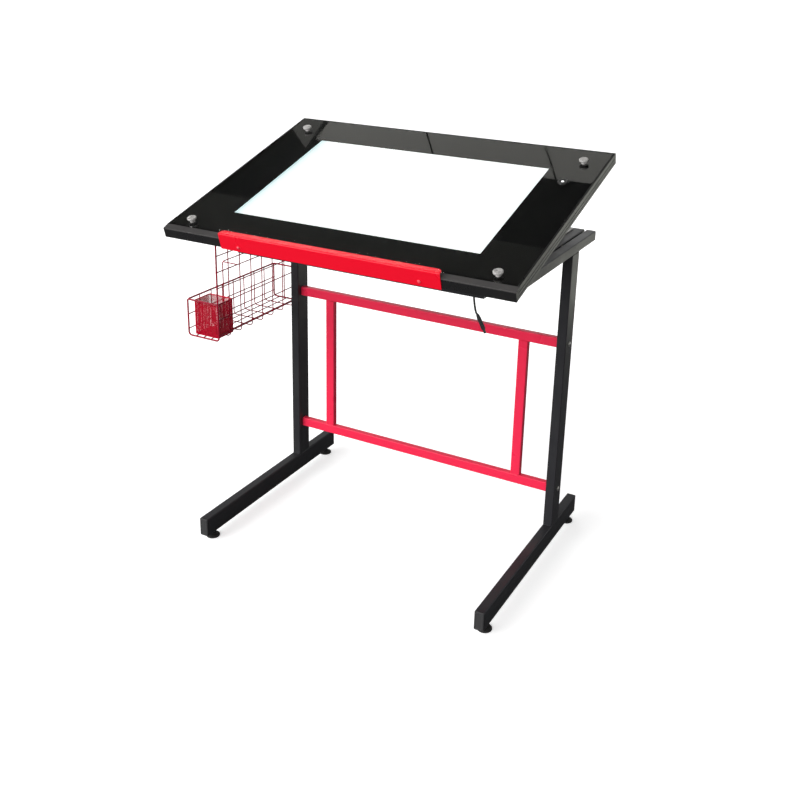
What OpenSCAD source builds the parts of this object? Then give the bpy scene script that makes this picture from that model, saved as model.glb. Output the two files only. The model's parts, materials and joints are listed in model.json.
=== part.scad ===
// Animation light table: a backlit tilting board on a steel desk with two C-shaped legs.
// Desk frame: X across, Y from the worker to the back, Z up. Board frame: x, s and h.

/* [Legs] */
// Distance between the centre lines of the two legs
leg_spacing = 703.2; // [560:0.2:1000]
// Height of the top of the rails above the floor
desk_height = 738; // [640:1:860]
// Width of the leg and rail tubes
tube_w = 22; // [20:1:26]
// Long side of the foot and upright tubes
tube_d = 44; // [38:1:54]
// Wall of the leg, rail and beam tubes
tube_wall = 1.5; // [1:0.1:1.8]
// Outer corner radius of the leg, rail and beam tubes
tube_r = 2.5; // [2.2:0.1:3.5]
// Reach of the feet in front of the uprights
foot_front = 382; // [320:1:460]
// Reach of the feet behind the front faces of the uprights
foot_back = 168; // [110:1:220]
// Height of the underside of the feet above the floor
foot_clear = 16; // [14:0.5:20]
// Reach of the rails in front of the uprights
rail_front = 300; // [270:1:340]
// Reach of the rails behind the front faces of the uprights
rail_back = 150; // [145:1:200]
// Flange thickness of the plastic end caps
cap_t = 4; // [2:0.5:6]

/* [Levelling feet] */
// Distance of the front levelling feet ahead of the uprights
leveller_front = 349; // [280:1:365]
// Distance of the rear levelling feet behind the front faces of the uprights
leveller_back = 139; // [80:1:150]
// Diameter of a levelling pad
pad_d = 32; // [24:1:40]
// Thickness of a levelling pad
pad_t = 6; // [4:0.5:8]
// Diameter of the threaded stud of a levelling foot
stud_d = 8; // [6:1:10]

/* [Red stretcher frame] */
// Height of the red bars and width of the red stiles
bar_h = 23; // [18:1:30]
// Depth of the red bars and stiles
bar_d = 15; // [12:1:20]
// Wall of the red bars and stiles
bar_wall = 1.2; // [1:0.1:1.5]
// Height of the top of the lower bar above the floor
lower_bar_top = 160; // [130:1:260]
// Height of the top of the upper bar above the floor
upper_bar_top = 520; // [420:1:600]
// Distance of each stile from the middle of the desk
stile_x = 257; // [160:1:300]

/* [Sub-frame under the board] */
// Width of the tubes that lie beside the rails
side_tube_w = 45; // [40:1:50]
// Height of the cross beams, which stand on edge
beam_h = 45; // [30:1:50]
// Slot between a rail and the tube beside it
side_slot = 4.5; // [4:0.1:6]

/* [Board] */
// Width of the board
board_w = 800; // [700:1:1100]
// Depth of the board along its slope
board_d = 556; // [520:1:640]
// Thickness of the board
board_t = 24; // [24:0.5:32]
// Slope of the board as photographed, in degrees
tilt = 17; // [0:1:40]
// Distance from the front edge of the board to its hinge line
hinge_s = 113; // [90:1:140]
// Height of the hinge pins above the top of the beams
hinge_rise = 14; // [13:0.5:18]
// Depth of the hinge pins under the board
hinge_drop = 18; // [16:0.5:24]
// Distance of each hinge from the middle of the desk
hinge_x = 220; // [120:1:240]
// Width of the rim of the tray around the glass
rim_w = 4; // [2.5:0.5:6]
// Thickness of the floor of the tray
tray_floor = 1.5; // [1:0.1:2]
// Depth of the grey strip along the front edge
trim_s = 16; // [10:1:24]

/* [Glass and light] */
// Thickness of the glass
glass_t = 5; // [4:0.5:6]
// Width of the lit window
lit_w = 572; // [440:1:584]
// Distance from the front edge to the near side of the lit window
lit_front = 100; // [80:1:140]
// Depth of the lit window along the slope
lit_d = 356; // [280:1:360]
// Distance of the glass screws from the middle of the desk
screw_x = 350; // [320:1:365]
// Distance from the front edge to the front glass screws
screw_front = 38; // [30:1:60]
// Distance from the front edge to the rear glass screws
screw_rear = 494; // [488:1:500]
// Diameter of the head of a glass screw
screw_head_d = 20; // [16:0.5:30]
// Distance of the dimmer from the middle of the desk
dimmer_x = 337; // [322:1:350]
// Distance from the front edge to the dimmer
dimmer_s = 402; // [300:1:440]
// Diameter of the ring of the dimmer
dimmer_d = 22; // [19:0.5:26]
// Travel of the dimmer button
dimmer_travel = 1.5; // [0.5:0.1:2]

/* [Paper stop] */
// Width of the red paper stop
stop_w = 504; // [300:1:700]
// Thickness of its sheet
stop_t = 2; // [1.5:0.1:3]
// Height of the stop above the glass
stop_rise = 10; // [6:0.5:16]
// Depth of the stop below the glass
stop_drop = 26; // [22:0.5:34]
// Depth of its folded top, measured over the front of the glass
stop_flange = 13; // [11:0.5:24]
// Outer radius of its fold
stop_fold_r = 3; // [2.6:0.1:5]

/* [Tilt stays] */
// Length of a stay arm between its two pins
stay_len = 205; // [190:1:210]
// Steepest slope of the board, in degrees
tilt_max = 40; // [30:1:42]
// Diameter of the hinge and stay pins
pin_d = 8; // [6:0.5:9]
// Diameter of a clamp knob
knob_d = 32; // [26:0.5:33]

/* [Wire basket] */
// Distance between the upright wires of the basket
grid_y = 42; // [34:1:50]
// Number of bays along the basket
bays = 8; // [5:1:9]
// Distance of the front of the basket ahead of the uprights
basket_front = 282; // [240:1:300]
// Distance from the tall panel to the outer wall
basket_w = 86.5; // [82:0.5:120]
// Height of the floor wires above the floor of the room
basket_floor_z = 466; // [380:1:500]
// Height of the outer wall above the floor wires
basket_wall_h = 87; // [60:1:130]
// Diameter of the thin wires
wire_d = 2.5; // [2:0.1:3]
// Diameter of the thick frame wires
frame_wire_d = 4; // [3:0.1:4.5]
// Inner radius of the wire bends, taken on the wire's centre line
wire_bend = 8; // [6:0.5:12]
// Reach of the raised divider from the tall panel
divider_w = 43; // [30:1:60]
// Height of the raised divider above the floor wires
divider_h = 164; // [120:1:200]

/* [Pen cup] */
// Width of the pen cup across the basket
cup_w = 68; // [50:1:70]
// Depth of the pen cup along the basket
cup_d = 58; // [40:1:64]
// Height of the pen cup
cup_h = 82; // [60:1:110]
// Thickness of its sheet
cup_t = 1; // [0.8:0.1:1.5]
// Width of one hole of its mesh
cup_hole = 5.6; // [4:0.1:6]

/* [Hidden] */

// Clearances
pin_fit = 0.05;
seat_fit = 0.02;
body_gap = 0.3;
hole_fit = 0.3;
slot_fit = 0.3;
inner_gap = 0.5;

// Smoothness of round shapes
fine = 64;
small = 32;

// Colours
black = [0.07, 0.07, 0.075];
grey = [0.25, 0.25, 0.26];
red = [0.85, 0.05, 0.15];
steel = [0.72, 0.72, 0.7];
white = [0.95, 0.97, 1];

// Desk frame: the front faces of the uprights are at y = 0
leg_x = leg_spacing / 2;
leg_in = leg_x - tube_w / 2;
leg_out = leg_x + tube_w / 2;
foot_top = foot_clear + tube_d;
rail_z = desk_height - tube_w / 2;
rail_bottom = desk_height - tube_w;
side_out = leg_in - side_slot;
side_in = side_out - side_tube_w;
side_x = (side_out + side_in) / 2;
beam_z = desk_height - beam_h / 2;
hinge_y = tube_w / 2 - rail_front;
hinge_z = desk_height + hinge_rise;

// Bolts through the uprights into the red bars, and from the side tubes into the rails
m6 = 6;
bolt_y = tube_d / 2;
bolt_head_d = 12;
bolt_head_h = 3.4;
insert_len = 16;
frame_bolt_y = [rail_front * -0.84, 0];
spacer_d = 16;
nut_d = 12;
nut_len = 9;

// Levelling feet
collar_d = 14;
collar_h = 4;
stud_len = 26;
weld_nut_d = 16;
weld_nut_h = 10;

// Hinges
lug_r = 9;
lug_t = 4;
lug_gap = 24;
lug_play = 0.5;
plate_t = 3;
plate_w = 60;
plate_s = 40;
rivet_d = 12;
rivet_h = 2;

// Tilt stays, from the middle of the desk outward: knob, track, arm, bracket
web_in = side_in + 1;
web_out = web_in + plate_t;
arm_in = web_out + 2;
arm_t = 4;
arm_out = arm_in + arm_t;
bracket_in = arm_out + 2;
bracket_out = bracket_in + plate_t;
track_flange_w = 20;
track_top = hinge_z + 11;
foot_far = hinge_y + 2 * stay_len;
foot_near = hinge_y + 2 * stay_len * cos(tilt_max);
foot_now = hinge_y + 2 * stay_len * cos(tilt);
slot_h = pin_d + 2 * slot_fit;
slot_extra = 0.6;
track_end = 12;
knob_t = 20;
knob_hub_d = 16;
knob_out = side_in - body_gap;
hub_out = web_in - body_gap;
lobes = 6;

// Board frame: x across, s up the slope from the front edge, h above the glass
rear_s = board_d;
glass_s = trim_s;
glass_d = rear_s - rim_w - glass_s;
glass_w = board_w - 2 * rim_w;
mask_t = 0.3;
diffuser_t = 2;
guide_t = 4;
reflector_t = 1;
stack_margin = 10;
led_t = 4;
led_h = 3;
led_step = 40;
under_glass = -glass_t;
under_mask = under_glass - mask_t;
under_diffuser = under_mask - diffuser_t;
under_guide = under_diffuser - guide_t;
under_stack = under_guide - reflector_t;
floor_h = tray_floor - board_t;
stack_w = lit_w + 2 * stack_margin;
stack_d = lit_d + 2 * stack_margin;
stack_s = lit_front + lit_d / 2;
well_w = stack_w + 2 * (led_t + inner_gap);
well_d = stack_d + 2 * inner_gap;
ledge = 8;
screw_d = 6;
neck_base_d = 11;
neck_d = 9;
neck_h = 5.5;
screw_rise = 11;
sleeve_d = 12;
glass_hole_d = 9;
barrel_d = 16;
barrel_wall = 1.5;
barrel_depth = 14;
ring_rise = 3.5;
button_d = barrel_d - 2 * barrel_wall - 2 * body_gap;
button_rise = 3;
button_len = 11;
stop_screw_x = stop_w * 0.41;
stop_screw_h = -16;
stop_screw_d = 3.5;
stop_screw_head_d = 7;
stop_screw_len = 3;

// Power lead: it leaves a gland under the board and ends in an in-line connector
lead_d = 4;
gland_x = 284;
gland_s = 62;
gland_d = 12;
gland_len = 8;
lead_sides = 8;
lead_points = [
    [0, 0, 0], [0, 1.8, -6], [0.4, 3.6, -14], [1.4, 4.6, -24], [2.6, 4.8, -34], [4, 4.8, -44],
    [5.6, 4.8, -55], [7.6, 5, -64], [9.6, 5.2, -70], [12.2, 5.4, -73.2]
];
connector_len = 38;
connector_d = 8;

// Basket, outside the left leg
panel_x = -(leg_out + 1.5 + frame_wire_d / 2);
outer_x = panel_x - basket_w;
wire_r = wire_d / 2;
frame_r = frame_wire_d / 2;
weld = 0.4;
cross = wire_d - weld;
basket_y0 = -basket_front;
basket_y1 = basket_y0 + bays * grid_y;
bend_z = basket_floor_z + wire_bend;
rim_z = basket_floor_z + basket_wall_h;
rim_bend = 6;
panel_rows = [11, 49, 87, 125, 163, 201, 239];
panel_top_z = rail_bottom + 16;
panel_bar_d = 3;
hook_d = 3;
hook_bend = 5;
hook_z = desk_height + body_gap + hook_d / 2;
hook_down = 12;
hook_x = -(leg_in - side_slot / 2);
hook_room = (spacer_d + hook_d) / 2 + body_gap;
function nearest_bolt(y) = min([for (b = frame_bolt_y) abs(y - b)]);
function free_bay(k) = nearest_bolt(basket_y0 + k * grid_y) > hook_room ? k : free_bay(k + 1);
hook_bays = [for (k = [1, 4, bays - 1]) free_bay(k)];
wall_rows = [0.19, 0.59];
floor_rows = [0.25, 0.5, 0.75];
divider_y0 = basket_y0 + 76;
divider_y1 = basket_y1 - 16;
divider_bend = 3;

// Pen cup
cup_x = panel_x - cross - wire_r - 2;
cup_y = basket_y0 + frame_r + 3;
cup_z = basket_floor_z + cross + wire_r + body_gap;
cup_rim_d = 3;
cup_seam = 0.05;
cup_rows = 9;
cup_cols = 8;

// The origin is on the floor under the middle of the table's outline
reach_left = outer_x - frame_r;
reach_right = board_w / 2;
fold_s = stop_fold_r - stop_t;
fold_h = stop_rise - stop_fold_r;
reach_front = hinge_y + (fold_s - hinge_s) * cos(tilt)
    - (fold_h + board_t + hinge_drop) * sin(tilt) - stop_fold_r;
desk_x = -(reach_left + reach_right) / 2;
desk_y = -(reach_front + foot_back) / 2;

module at_desk() {
    translate([desk_x, desk_y, 0]) children();
}

// Board frame: the origin is the middle of the front top edge of the board
module on_board() {
    at_desk()
    translate([0, hinge_y, hinge_z])
    rotate([tilt, 0, 0])
    translate([0, -hinge_s, board_t + hinge_drop])
    children();
}

module both_sides() {
    children();
    mirror([1, 0, 0]) children();
}

module along_x(length) {
    rotate([90, 0, 90]) linear_extrude(length) children();
}

module along_y(length) {
    translate([0, length, 0]) rotate([90, 0, 0]) linear_extrude(length) children();
}

module rounded(w, h, r) {
    square([w - 2 * r, h], center = true);
    square([w, h - 2 * r], center = true);
    for (sx = [-1, 1], sy = [-1, 1])
        translate([sx * (w / 2 - r), sy * (h / 2 - r)]) circle(r, $fn = small);
}

module tube_section(w, h, r, wall) {
    difference() {
        rounded(w, h, r);
        rounded(w - 2 * wall, h - 2 * wall, r - wall);
    }
}

module rod_x(x0, x1, d) {
    translate([x0, 0, 0]) rotate([0, 90, 0]) cylinder(h = x1 - x0, d = d, $fn = small);
}

module rod_y(y0, y1, d) {
    translate([0, y0, 0]) rotate([-90, 0, 0]) cylinder(h = y1 - y0, d = d, $fn = small);
}

module rod_z(z0, z1, d) {
    translate([0, 0, z0]) cylinder(h = z1 - z0, d = d, $fn = small);
}

module ring(outer, inner, h) {
    difference() {
        cylinder(h = h, d = outer, $fn = fine);
        translate([0, 0, -1]) cylinder(h = h + 2, d = inner, $fn = fine);
    }
}

// Tube of a foot, with a hole for each levelling stud
module foot_tube(side) {
    color(black) at_desk() translate([side * leg_x, 0, 0]) difference() {
        translate([0, cap_t - foot_front, foot_clear + tube_d / 2])
            along_y(foot_front + foot_back - 2 * cap_t) tube_section(tube_w, tube_d, tube_r, tube_wall);
        for (y = [-leveller_front, leveller_back])
            translate([0, y, foot_clear - 1])
                cylinder(h = tube_wall + 2, d = stud_d + 2 * hole_fit, $fn = fine);
    }
}

module left_foot() {
    foot_tube(-1);
}

module right_foot() {
    foot_tube(1);
}

// Plastic cap: a flange as large as the tube, and a plug that goes into it
module tube_cap(w, h) {
    plug = 2 * (tube_wall + 0.2);
    along_y(cap_t) rounded(w, h, tube_r);
    translate([0, cap_t, 0]) along_y(10) tube_section(w - plug, h - plug, 1.8, 1.2);
}

module foot_end_caps() {
    color(grey) at_desk() both_sides() translate([leg_x, 0, foot_clear + tube_d / 2]) {
        translate([0, -foot_front, 0]) tube_cap(tube_w, tube_d);
        translate([0, foot_back, 0]) mirror([0, 1, 0]) tube_cap(tube_w, tube_d);
    }
}

// Upright between a foot and a rail, drilled through for the stretcher bolts
module upright_tube(side) {
    color(black) at_desk() difference() {
        translate([side * leg_x, tube_d / 2, foot_top])
            linear_extrude(rail_bottom - foot_top) tube_section(tube_w, tube_d, tube_r, tube_wall);
        for (top = [lower_bar_top, upper_bar_top])
            translate([side * leg_x, bolt_y, top - bar_h / 2])
                rod_x(-tube_w, tube_w, m6 + 2 * hole_fit);
    }
}

module left_upright() {
    upright_tube(-1);
}

module right_upright() {
    upright_tube(1);
}

module rail_tube(side) {
    color(black) at_desk() difference() {
        translate([side * leg_x, cap_t - rail_front, rail_z])
            along_y(rail_front + rail_back - 2 * cap_t) tube_section(tube_w, tube_w, tube_r, tube_wall);
        for (y = frame_bolt_y)
            translate([side * leg_in, y, rail_z]) rod_x(-4, 4, m6 + 2 * hole_fit);
    }
}

module left_top_rail() {
    rail_tube(-1);
}

module right_top_rail() {
    rail_tube(1);
}

module rail_end_caps() {
    color(black) at_desk() both_sides() {
        translate([leg_x, -rail_front, rail_z]) tube_cap(tube_w, tube_w);
        translate([leg_x, rail_back, rail_z]) mirror([0, 1, 0]) tube_cap(tube_w, tube_w);
        translate([side_x, -rail_front, rail_z]) tube_cap(side_tube_w, tube_w);
        translate([side_x, rail_back, rail_z]) mirror([0, 1, 0]) tube_cap(side_tube_w, tube_w);
    }
}

// Red bar between the uprights, open at both ends for the threaded end blocks
module stretcher_bar(top) {
    color(red) at_desk() translate([-leg_in, bolt_y, top - bar_h / 2])
        along_x(2 * leg_in) tube_section(bar_d, bar_h, 2, bar_wall);
}

module upper_stretcher() {
    stretcher_bar(upper_bar_top);
}

module lower_stretcher() {
    stretcher_bar(lower_bar_top);
}

module stretcher_stiles() {
    color(red) at_desk() both_sides() translate([stile_x, bolt_y, lower_bar_top])
        linear_extrude(upper_bar_top - bar_h - lower_bar_top) tube_section(bar_h, bar_d, 2, bar_wall);
}

// Button-head bolt along X with a hexagon socket, its head facing +X and seated at x = 0
module button_bolt(length) {
    difference() {
        union() {
            rod_x(-length, 0, m6);
            rotate([0, 90, 0]) cylinder(h = bolt_head_h * 0.45, d = bolt_head_d, $fn = fine);
            translate([bolt_head_h * 0.45, 0, 0]) rotate([0, 90, 0])
                cylinder(h = bolt_head_h * 0.55, d1 = bolt_head_d, d2 = bolt_head_d * 0.6, $fn = fine);
        }
        translate([bolt_head_h - 2, 0, 0]) rotate([0, 90, 0]) cylinder(h = 3, d = 4.6, $fn = 6);
    }
}

module stretcher_bolts() {
    color(steel) at_desk() both_sides() for (top = [lower_bar_top, upper_bar_top])
        translate([leg_out, bolt_y, top - bar_h / 2]) button_bolt(tube_w + insert_len - 2);
}

// Threaded end blocks of the red bars, weld nuts in the feet and rivet nuts in the rails
module threaded_inserts() {
    block_play = 2 * (bar_wall + 0.1);
    color(steel) at_desk() both_sides() {
        for (top = [lower_bar_top, upper_bar_top])
            translate([leg_in - insert_len, bolt_y, top - bar_h / 2]) difference() {
                along_x(insert_len) rounded(bar_d - block_play, bar_h - block_play, 0.8);
                rod_x(-1, insert_len + 1, m6 + 2 * seat_fit);
            }
        for (y = [-leveller_front, leveller_back])
            translate([leg_x, y, foot_clear + tube_wall]) ring(weld_nut_d, stud_d + 2 * seat_fit, weld_nut_h);
        for (y = frame_bolt_y)
            translate([leg_in + tube_wall, y, rail_z]) rotate([0, 90, 0])
                ring(nut_d, m6 + 2 * seat_fit, nut_len);
    }
}

// Flat tube beside a rail: it carries the track of a tilt stay
module side_tube(side) {
    color(black) at_desk() difference() {
        translate([side * side_x, cap_t - rail_front, rail_z])
            along_y(rail_front + rail_back - 2 * cap_t) tube_section(side_tube_w, tube_w, tube_r, tube_wall);
        for (y = frame_bolt_y)
            translate([side * side_x, y, rail_z]) rod_x(-side_tube_w, side_tube_w, m6 + 2 * hole_fit);
    }
}

module left_side_tube() {
    side_tube(-1);
}

module right_side_tube() {
    side_tube(1);
}

// Cross beam on edge between the side tubes, with its ends welded shut
module cross_beam(front_y) {
    color(black) at_desk() translate([-side_in, front_y + tube_w / 2, beam_z]) difference() {
        along_x(2 * side_in) rounded(tube_w, beam_h, tube_r);
        translate([tube_wall, 0, 0]) along_x(2 * side_in - 2 * tube_wall)
            rounded(tube_w - 2 * tube_wall, beam_h - 2 * tube_wall, tube_r - tube_wall);
    }
}

module front_cross_beam() {
    cross_beam(-rail_front);
}

module rear_cross_beam() {
    cross_beam(rail_back - tube_w);
}

module frame_bolts() {
    color(steel) at_desk() both_sides() for (y = frame_bolt_y)
        translate([side_in, y, rail_z]) mirror([1, 0, 0])
            button_bolt(side_tube_w + side_slot + tube_wall + nut_len);
}

module frame_spacers() {
    color(steel) at_desk() both_sides() for (y = frame_bolt_y)
        translate([side_out, y, rail_z]) rotate([0, 90, 0]) ring(spacer_d, m6 + 2 * hole_fit, side_slot);
}

// Round-ended lug in the YZ plane, from its pin at the origin down to z = -drop
module lug(t, drop, bore) {
    translate([-t / 2, 0, 0]) difference() {
        union() {
            rotate([0, 90, 0]) cylinder(h = t, r = lug_r, $fn = fine);
            translate([0, -lug_r, -drop]) cube([t, 2 * lug_r, drop]);
        }
        translate([-1, 0, 0]) rotate([0, 90, 0]) cylinder(h = t + 2, d = bore, $fn = fine);
    }
}

// Two welded lugs and their base plate on the front beam, for each hinge
module hinge_brackets() {
    color(black) at_desk() both_sides() translate([hinge_x, hinge_y, hinge_z]) {
        translate([-plate_w / 2, -tube_w / 2 + 1, -hinge_rise]) cube([plate_w, tube_w - 2, plate_t]);
        for (side = [-1, 1])
            translate([side * (lug_gap + lug_t) / 2, 0, 0])
                lug(lug_t, hinge_rise - plate_t / 2, pin_d + 2 * seat_fit);
    }
}

// Riveted pin from x0 to x1
module riveted_pin(x0, x1) {
    rod_x(x0 - rivet_h, x1 + rivet_h, pin_d);
    rod_x(x0 - rivet_h, x0, rivet_d);
    rod_x(x1, x1 + rivet_h, rivet_d);
}

module hinge_pins() {
    half = lug_gap / 2 + lug_t + 0.1;
    color(steel) at_desk() both_sides() translate([hinge_x, hinge_y, hinge_z]) riveted_pin(-half, half);
}

// Slotted angle on a side tube: the pin at the foot of the stay slides along its slot
module stay_track() {
    slot_from = foot_near - slot_extra;
    slot_to = foot_far + slot_extra;
    from = slot_from - track_end;
    length = slot_to - slot_from + 2 * track_end;
    difference() {
        union() {
            translate([web_in, from, desk_height]) cube([plate_t, length, track_top - desk_height]);
            translate([web_in, from, desk_height]) cube([plate_t + track_flange_w, length, plate_t]);
        }
        translate([0, 0, hinge_z]) {
            translate([web_in - 1, slot_from, -slot_h / 2]) cube([plate_t + 2, slot_to - slot_from, slot_h]);
            for (y = [slot_from, slot_to])
                translate([0, y, 0]) rod_x(web_in - 1, web_out + 1, slot_h);
        }
    }
}

module left_stay_track() {
    color(steel) at_desk() mirror([1, 0, 0]) stay_track();
}

module right_stay_track() {
    color(steel) at_desk() stay_track();
}

// Plastic pad on a threaded stud, with a collar for the spanner
module leveller(side, y) {
    at_desk() translate([side * leg_x, y, 0]) {
        color(black) difference() {
            union() {
                cylinder(h = pad_t * 0.6, d = pad_d, $fn = fine);
                translate([0, 0, pad_t * 0.6])
                    cylinder(h = pad_t * 0.4, d1 = pad_d, d2 = pad_d * 0.7, $fn = fine);
                translate([0, 0, pad_t]) cylinder(h = collar_h, d = collar_d, $fn = 6);
            }
            translate([0, 0, 2]) cylinder(h = pad_t + collar_h, d = stud_d + 2 * seat_fit, $fn = fine);
        }
        color(steel) translate([0, 0, 2]) cylinder(h = stud_len, d = stud_d, $fn = fine);
    }
}

module front_left_leveller() {
    leveller(-1, -leveller_front);
}

module front_right_leveller() {
    leveller(1, -leveller_front);
}

module rear_left_leveller() {
    leveller(-1, leveller_back);
}

module rear_right_leveller() {
    leveller(1, leveller_back);
}

// Box in the board frame, centred across and given by its near edge, depth, bottom and top
module board_box(w, s, d, bottom, top) {
    translate([-w / 2, s, bottom]) cube([w, d, top - bottom]);
}

module at_glass_screws() {
    for (sx = [-1, 1], s = [screw_front, screw_rear]) translate([sx * screw_x, s, 0]) children();
}

// Folded steel tray: floor and four walls, lower in front where the grey strip lies
module tray_shell() {
    color(black) on_board() difference() {
        board_box(board_w, 0, board_d, -board_t, 0);
        board_box(board_w - 2 * rim_w, rim_w, board_d - 2 * rim_w, floor_h, 1);
        board_box(board_w + 2, -1, trim_s + 1, under_glass, 1);
        at_glass_screws() translate([0, 0, -board_t - 1])
            cylinder(h = tray_floor + 2, d = screw_d + 2 * hole_fit, $fn = small);
        for (sx = [-1, 1])
            translate([sx * stop_screw_x, 0, stop_screw_h]) rod_y(-1, rim_w + 1, stop_screw_d + 2 * seat_fit);
        translate([gland_x, gland_s, -board_t - 1])
            cylinder(h = tray_floor + 2, d = gland_d - 3 + 2 * seat_fit, $fn = small);
    }
}

// Grey bevelled strip in front of the glass
module front_trim() {
    bevel = 1;
    color(grey) on_board() translate([-board_w / 2, 0, 0]) along_x(board_w)
        polygon([
            [0, under_glass], [0, -bevel - 1], [1, -bevel],
            [trim_s, 0], [trim_s, under_glass]
        ]);
}

module glass_top() {
    color(black) on_board() difference() {
        board_box(glass_w, glass_s, glass_d, under_glass, 0);
        at_glass_screws() translate([0, 0, under_glass - 1])
            cylinder(h = glass_t + 2, d = glass_hole_d, $fn = fine);
        translate([dimmer_x, dimmer_s, under_glass - 1])
            cylinder(h = glass_t + 2, d = barrel_d + 2 * hole_fit, $fn = fine);
    }
}

// Black film behind the glass: it leaves the lit window open
module border_mask() {
    color(black) on_board() difference() {
        board_box(glass_w, glass_s, glass_d, under_mask, under_glass);
        board_box(lit_w, lit_front, lit_d, under_mask - 1, 1);
        at_glass_screws() translate([0, 0, under_mask - 1]) cylinder(h = 3, d = glass_hole_d, $fn = fine);
        translate([dimmer_x, dimmer_s, under_mask - 1])
            cylinder(h = 3, d = barrel_d + 2 * hole_fit, $fn = fine);
    }
}

module stack_sheet(top, bottom) {
    on_board() board_box(stack_w, stack_s - stack_d / 2, stack_d, bottom, top);
}

module diffuser() {
    color(white) stack_sheet(under_mask, under_diffuser);
}

module light_guide() {
    color([0.85, 0.9, 0.95]) stack_sheet(under_diffuser, under_guide);
}

module reflector() {
    color(white) stack_sheet(under_guide, under_stack);
}

// Strips of lamps along the left and right edges of the light guide
module led_strips() {
    strip_d = stack_d - 2;
    color([1, 0.95, 0.6]) on_board() both_sides()
        translate([stack_w / 2 + inner_gap, stack_s - strip_d / 2, under_guide]) {
            translate([led_t - 1.5, 0, 0]) cube([1.5, strip_d, guide_t]);
            for (k = [0.5 : 1 : strip_d / led_step - 0.5])
                translate([0, k * led_step, 0.4]) cube([led_t - 1.5, led_h, led_h]);
        }
}

// Frame inside the tray: the glass lies on it, and the light panel sits in its rabbet
module panel_frame() {
    side_room = 2 * (rim_w + inner_gap);
    color(grey) on_board() difference() {
        board_box(board_w - side_room, rim_w + inner_gap, board_d - side_room, floor_h, under_mask);
        board_box(well_w, stack_s - well_d / 2, well_d, under_stack, 1);
        board_box(stack_w - 2 * ledge, stack_s - stack_d / 2 + ledge, stack_d - 2 * ledge, floor_h - 1, 1);
        at_glass_screws() translate([0, 0, floor_h - 1])
            cylinder(h = board_t, d = sleeve_d + 2 * seat_fit, $fn = fine);
        translate([dimmer_x, dimmer_s, floor_h - 1])
            cylinder(h = board_t, d = barrel_d + 2 * hole_fit, $fn = fine);
        translate([gland_x, gland_s, floor_h - 1]) cylinder(h = board_t, d = gland_d + 4, $fn = small);
    }
}

// Lamp driver on the floor of the tray, under the light panel
module driver_board() {
    color([0.05, 0.35, 0.15]) on_board() translate([dimmer_x - 150, dimmer_s - 60, floor_h]) {
        for (x = [4, 66], y = [4, 36]) translate([x, y, 0]) cylinder(h = 3, d = 5, $fn = small);
        translate([0, 0, 3]) cube([70, 40, 1.6]);
        translate([8, 8, 4.6]) cube([18, 14, 4]);
        translate([34, 8, 4.6]) cube([10, 10, 2]);
        for (x = [52, 60]) translate([x, 28, 4.6]) cylinder(h = 4, d = 6, $fn = small);
    }
}

// Plates welded under the tray, each with the middle lug of a hinge
module board_hinge_plates() {
    color(black) on_board() both_sides() translate([hinge_x, hinge_s, -board_t - hinge_drop]) {
        translate([-plate_w / 2, -plate_s / 2, hinge_drop - plate_t]) cube([plate_w, plate_s, plate_t]);
        mirror([0, 0, 1]) lug(lug_gap - 2 * lug_play, hinge_drop - plate_t / 2, pin_d + 2 * pin_fit);
    }
}

// Angles welded under the tray, each with the upper pivot of a tilt stay
module stay_brackets() {
    color(black) on_board() both_sides() translate([0, hinge_s + stay_len, -board_t - hinge_drop]) {
        translate([(bracket_in + bracket_out) / 2, 0, 0]) mirror([0, 0, 1])
            lug(plate_t, hinge_drop - plate_t / 2, pin_d + 2 * seat_fit);
        translate([bracket_in, -plate_s / 2, hinge_drop - plate_t]) cube([25, plate_s, plate_t]);
    }
}

module stay_pivot_pins() {
    color(steel) on_board() both_sides() translate([0, hinge_s + stay_len, -board_t - hinge_drop]) {
        riveted_pin(arm_in - 0.1, bracket_out + 0.1);
        translate([arm_out + 0.2, 0, 0]) rod_x(0, 1.6, rivet_d);
    }
}

// Mushroom-headed clamp screws of the glass: the neck flares up into the head
module glass_screws() {
    head_r = screw_head_d / 2;
    color(steel) on_board() at_glass_screws() {
        rotate_extrude($fn = fine) polygon([
            [0, 0], [neck_base_d / 2, 0], [neck_d / 2, 1.5], [neck_d / 2, neck_h * 0.6],
            [head_r * 0.8, neck_h], [head_r, neck_h + 1], [head_r, screw_rise - 2],
            [head_r - 0.6, screw_rise - 0.8], [head_r - 2, screw_rise - 0.2], [head_r - 4, screw_rise],
            [0, screw_rise]
        ]);
        rod_z(floor_h + 1, 0.1, screw_d);
    }
}

module screw_sleeves() {
    color(steel) on_board() at_glass_screws() translate([0, 0, floor_h])
        ring(sleeve_d, screw_d + 2 * seat_fit, under_mask - floor_h);
}

// Ring and threaded barrel of the dimmer, with its switch block closed in at the bottom
module dimmer_bezel() {
    bore = barrel_d - 2 * barrel_wall;
    color(steel) on_board() translate([dimmer_x, dimmer_s, 0]) {
        difference() {
            union() {
                cylinder(h = ring_rise - 1, d = dimmer_d, $fn = fine);
                translate([0, 0, ring_rise - 1])
                    cylinder(h = 1, d1 = dimmer_d, d2 = dimmer_d - 2, $fn = fine);
                translate([0, 0, -barrel_depth]) cylinder(h = barrel_depth, d = barrel_d, $fn = fine);
            }
            translate([0, 0, 2 - barrel_depth]) cylinder(h = barrel_depth + ring_rise, d = bore, $fn = fine);
        }
    }
}

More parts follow.
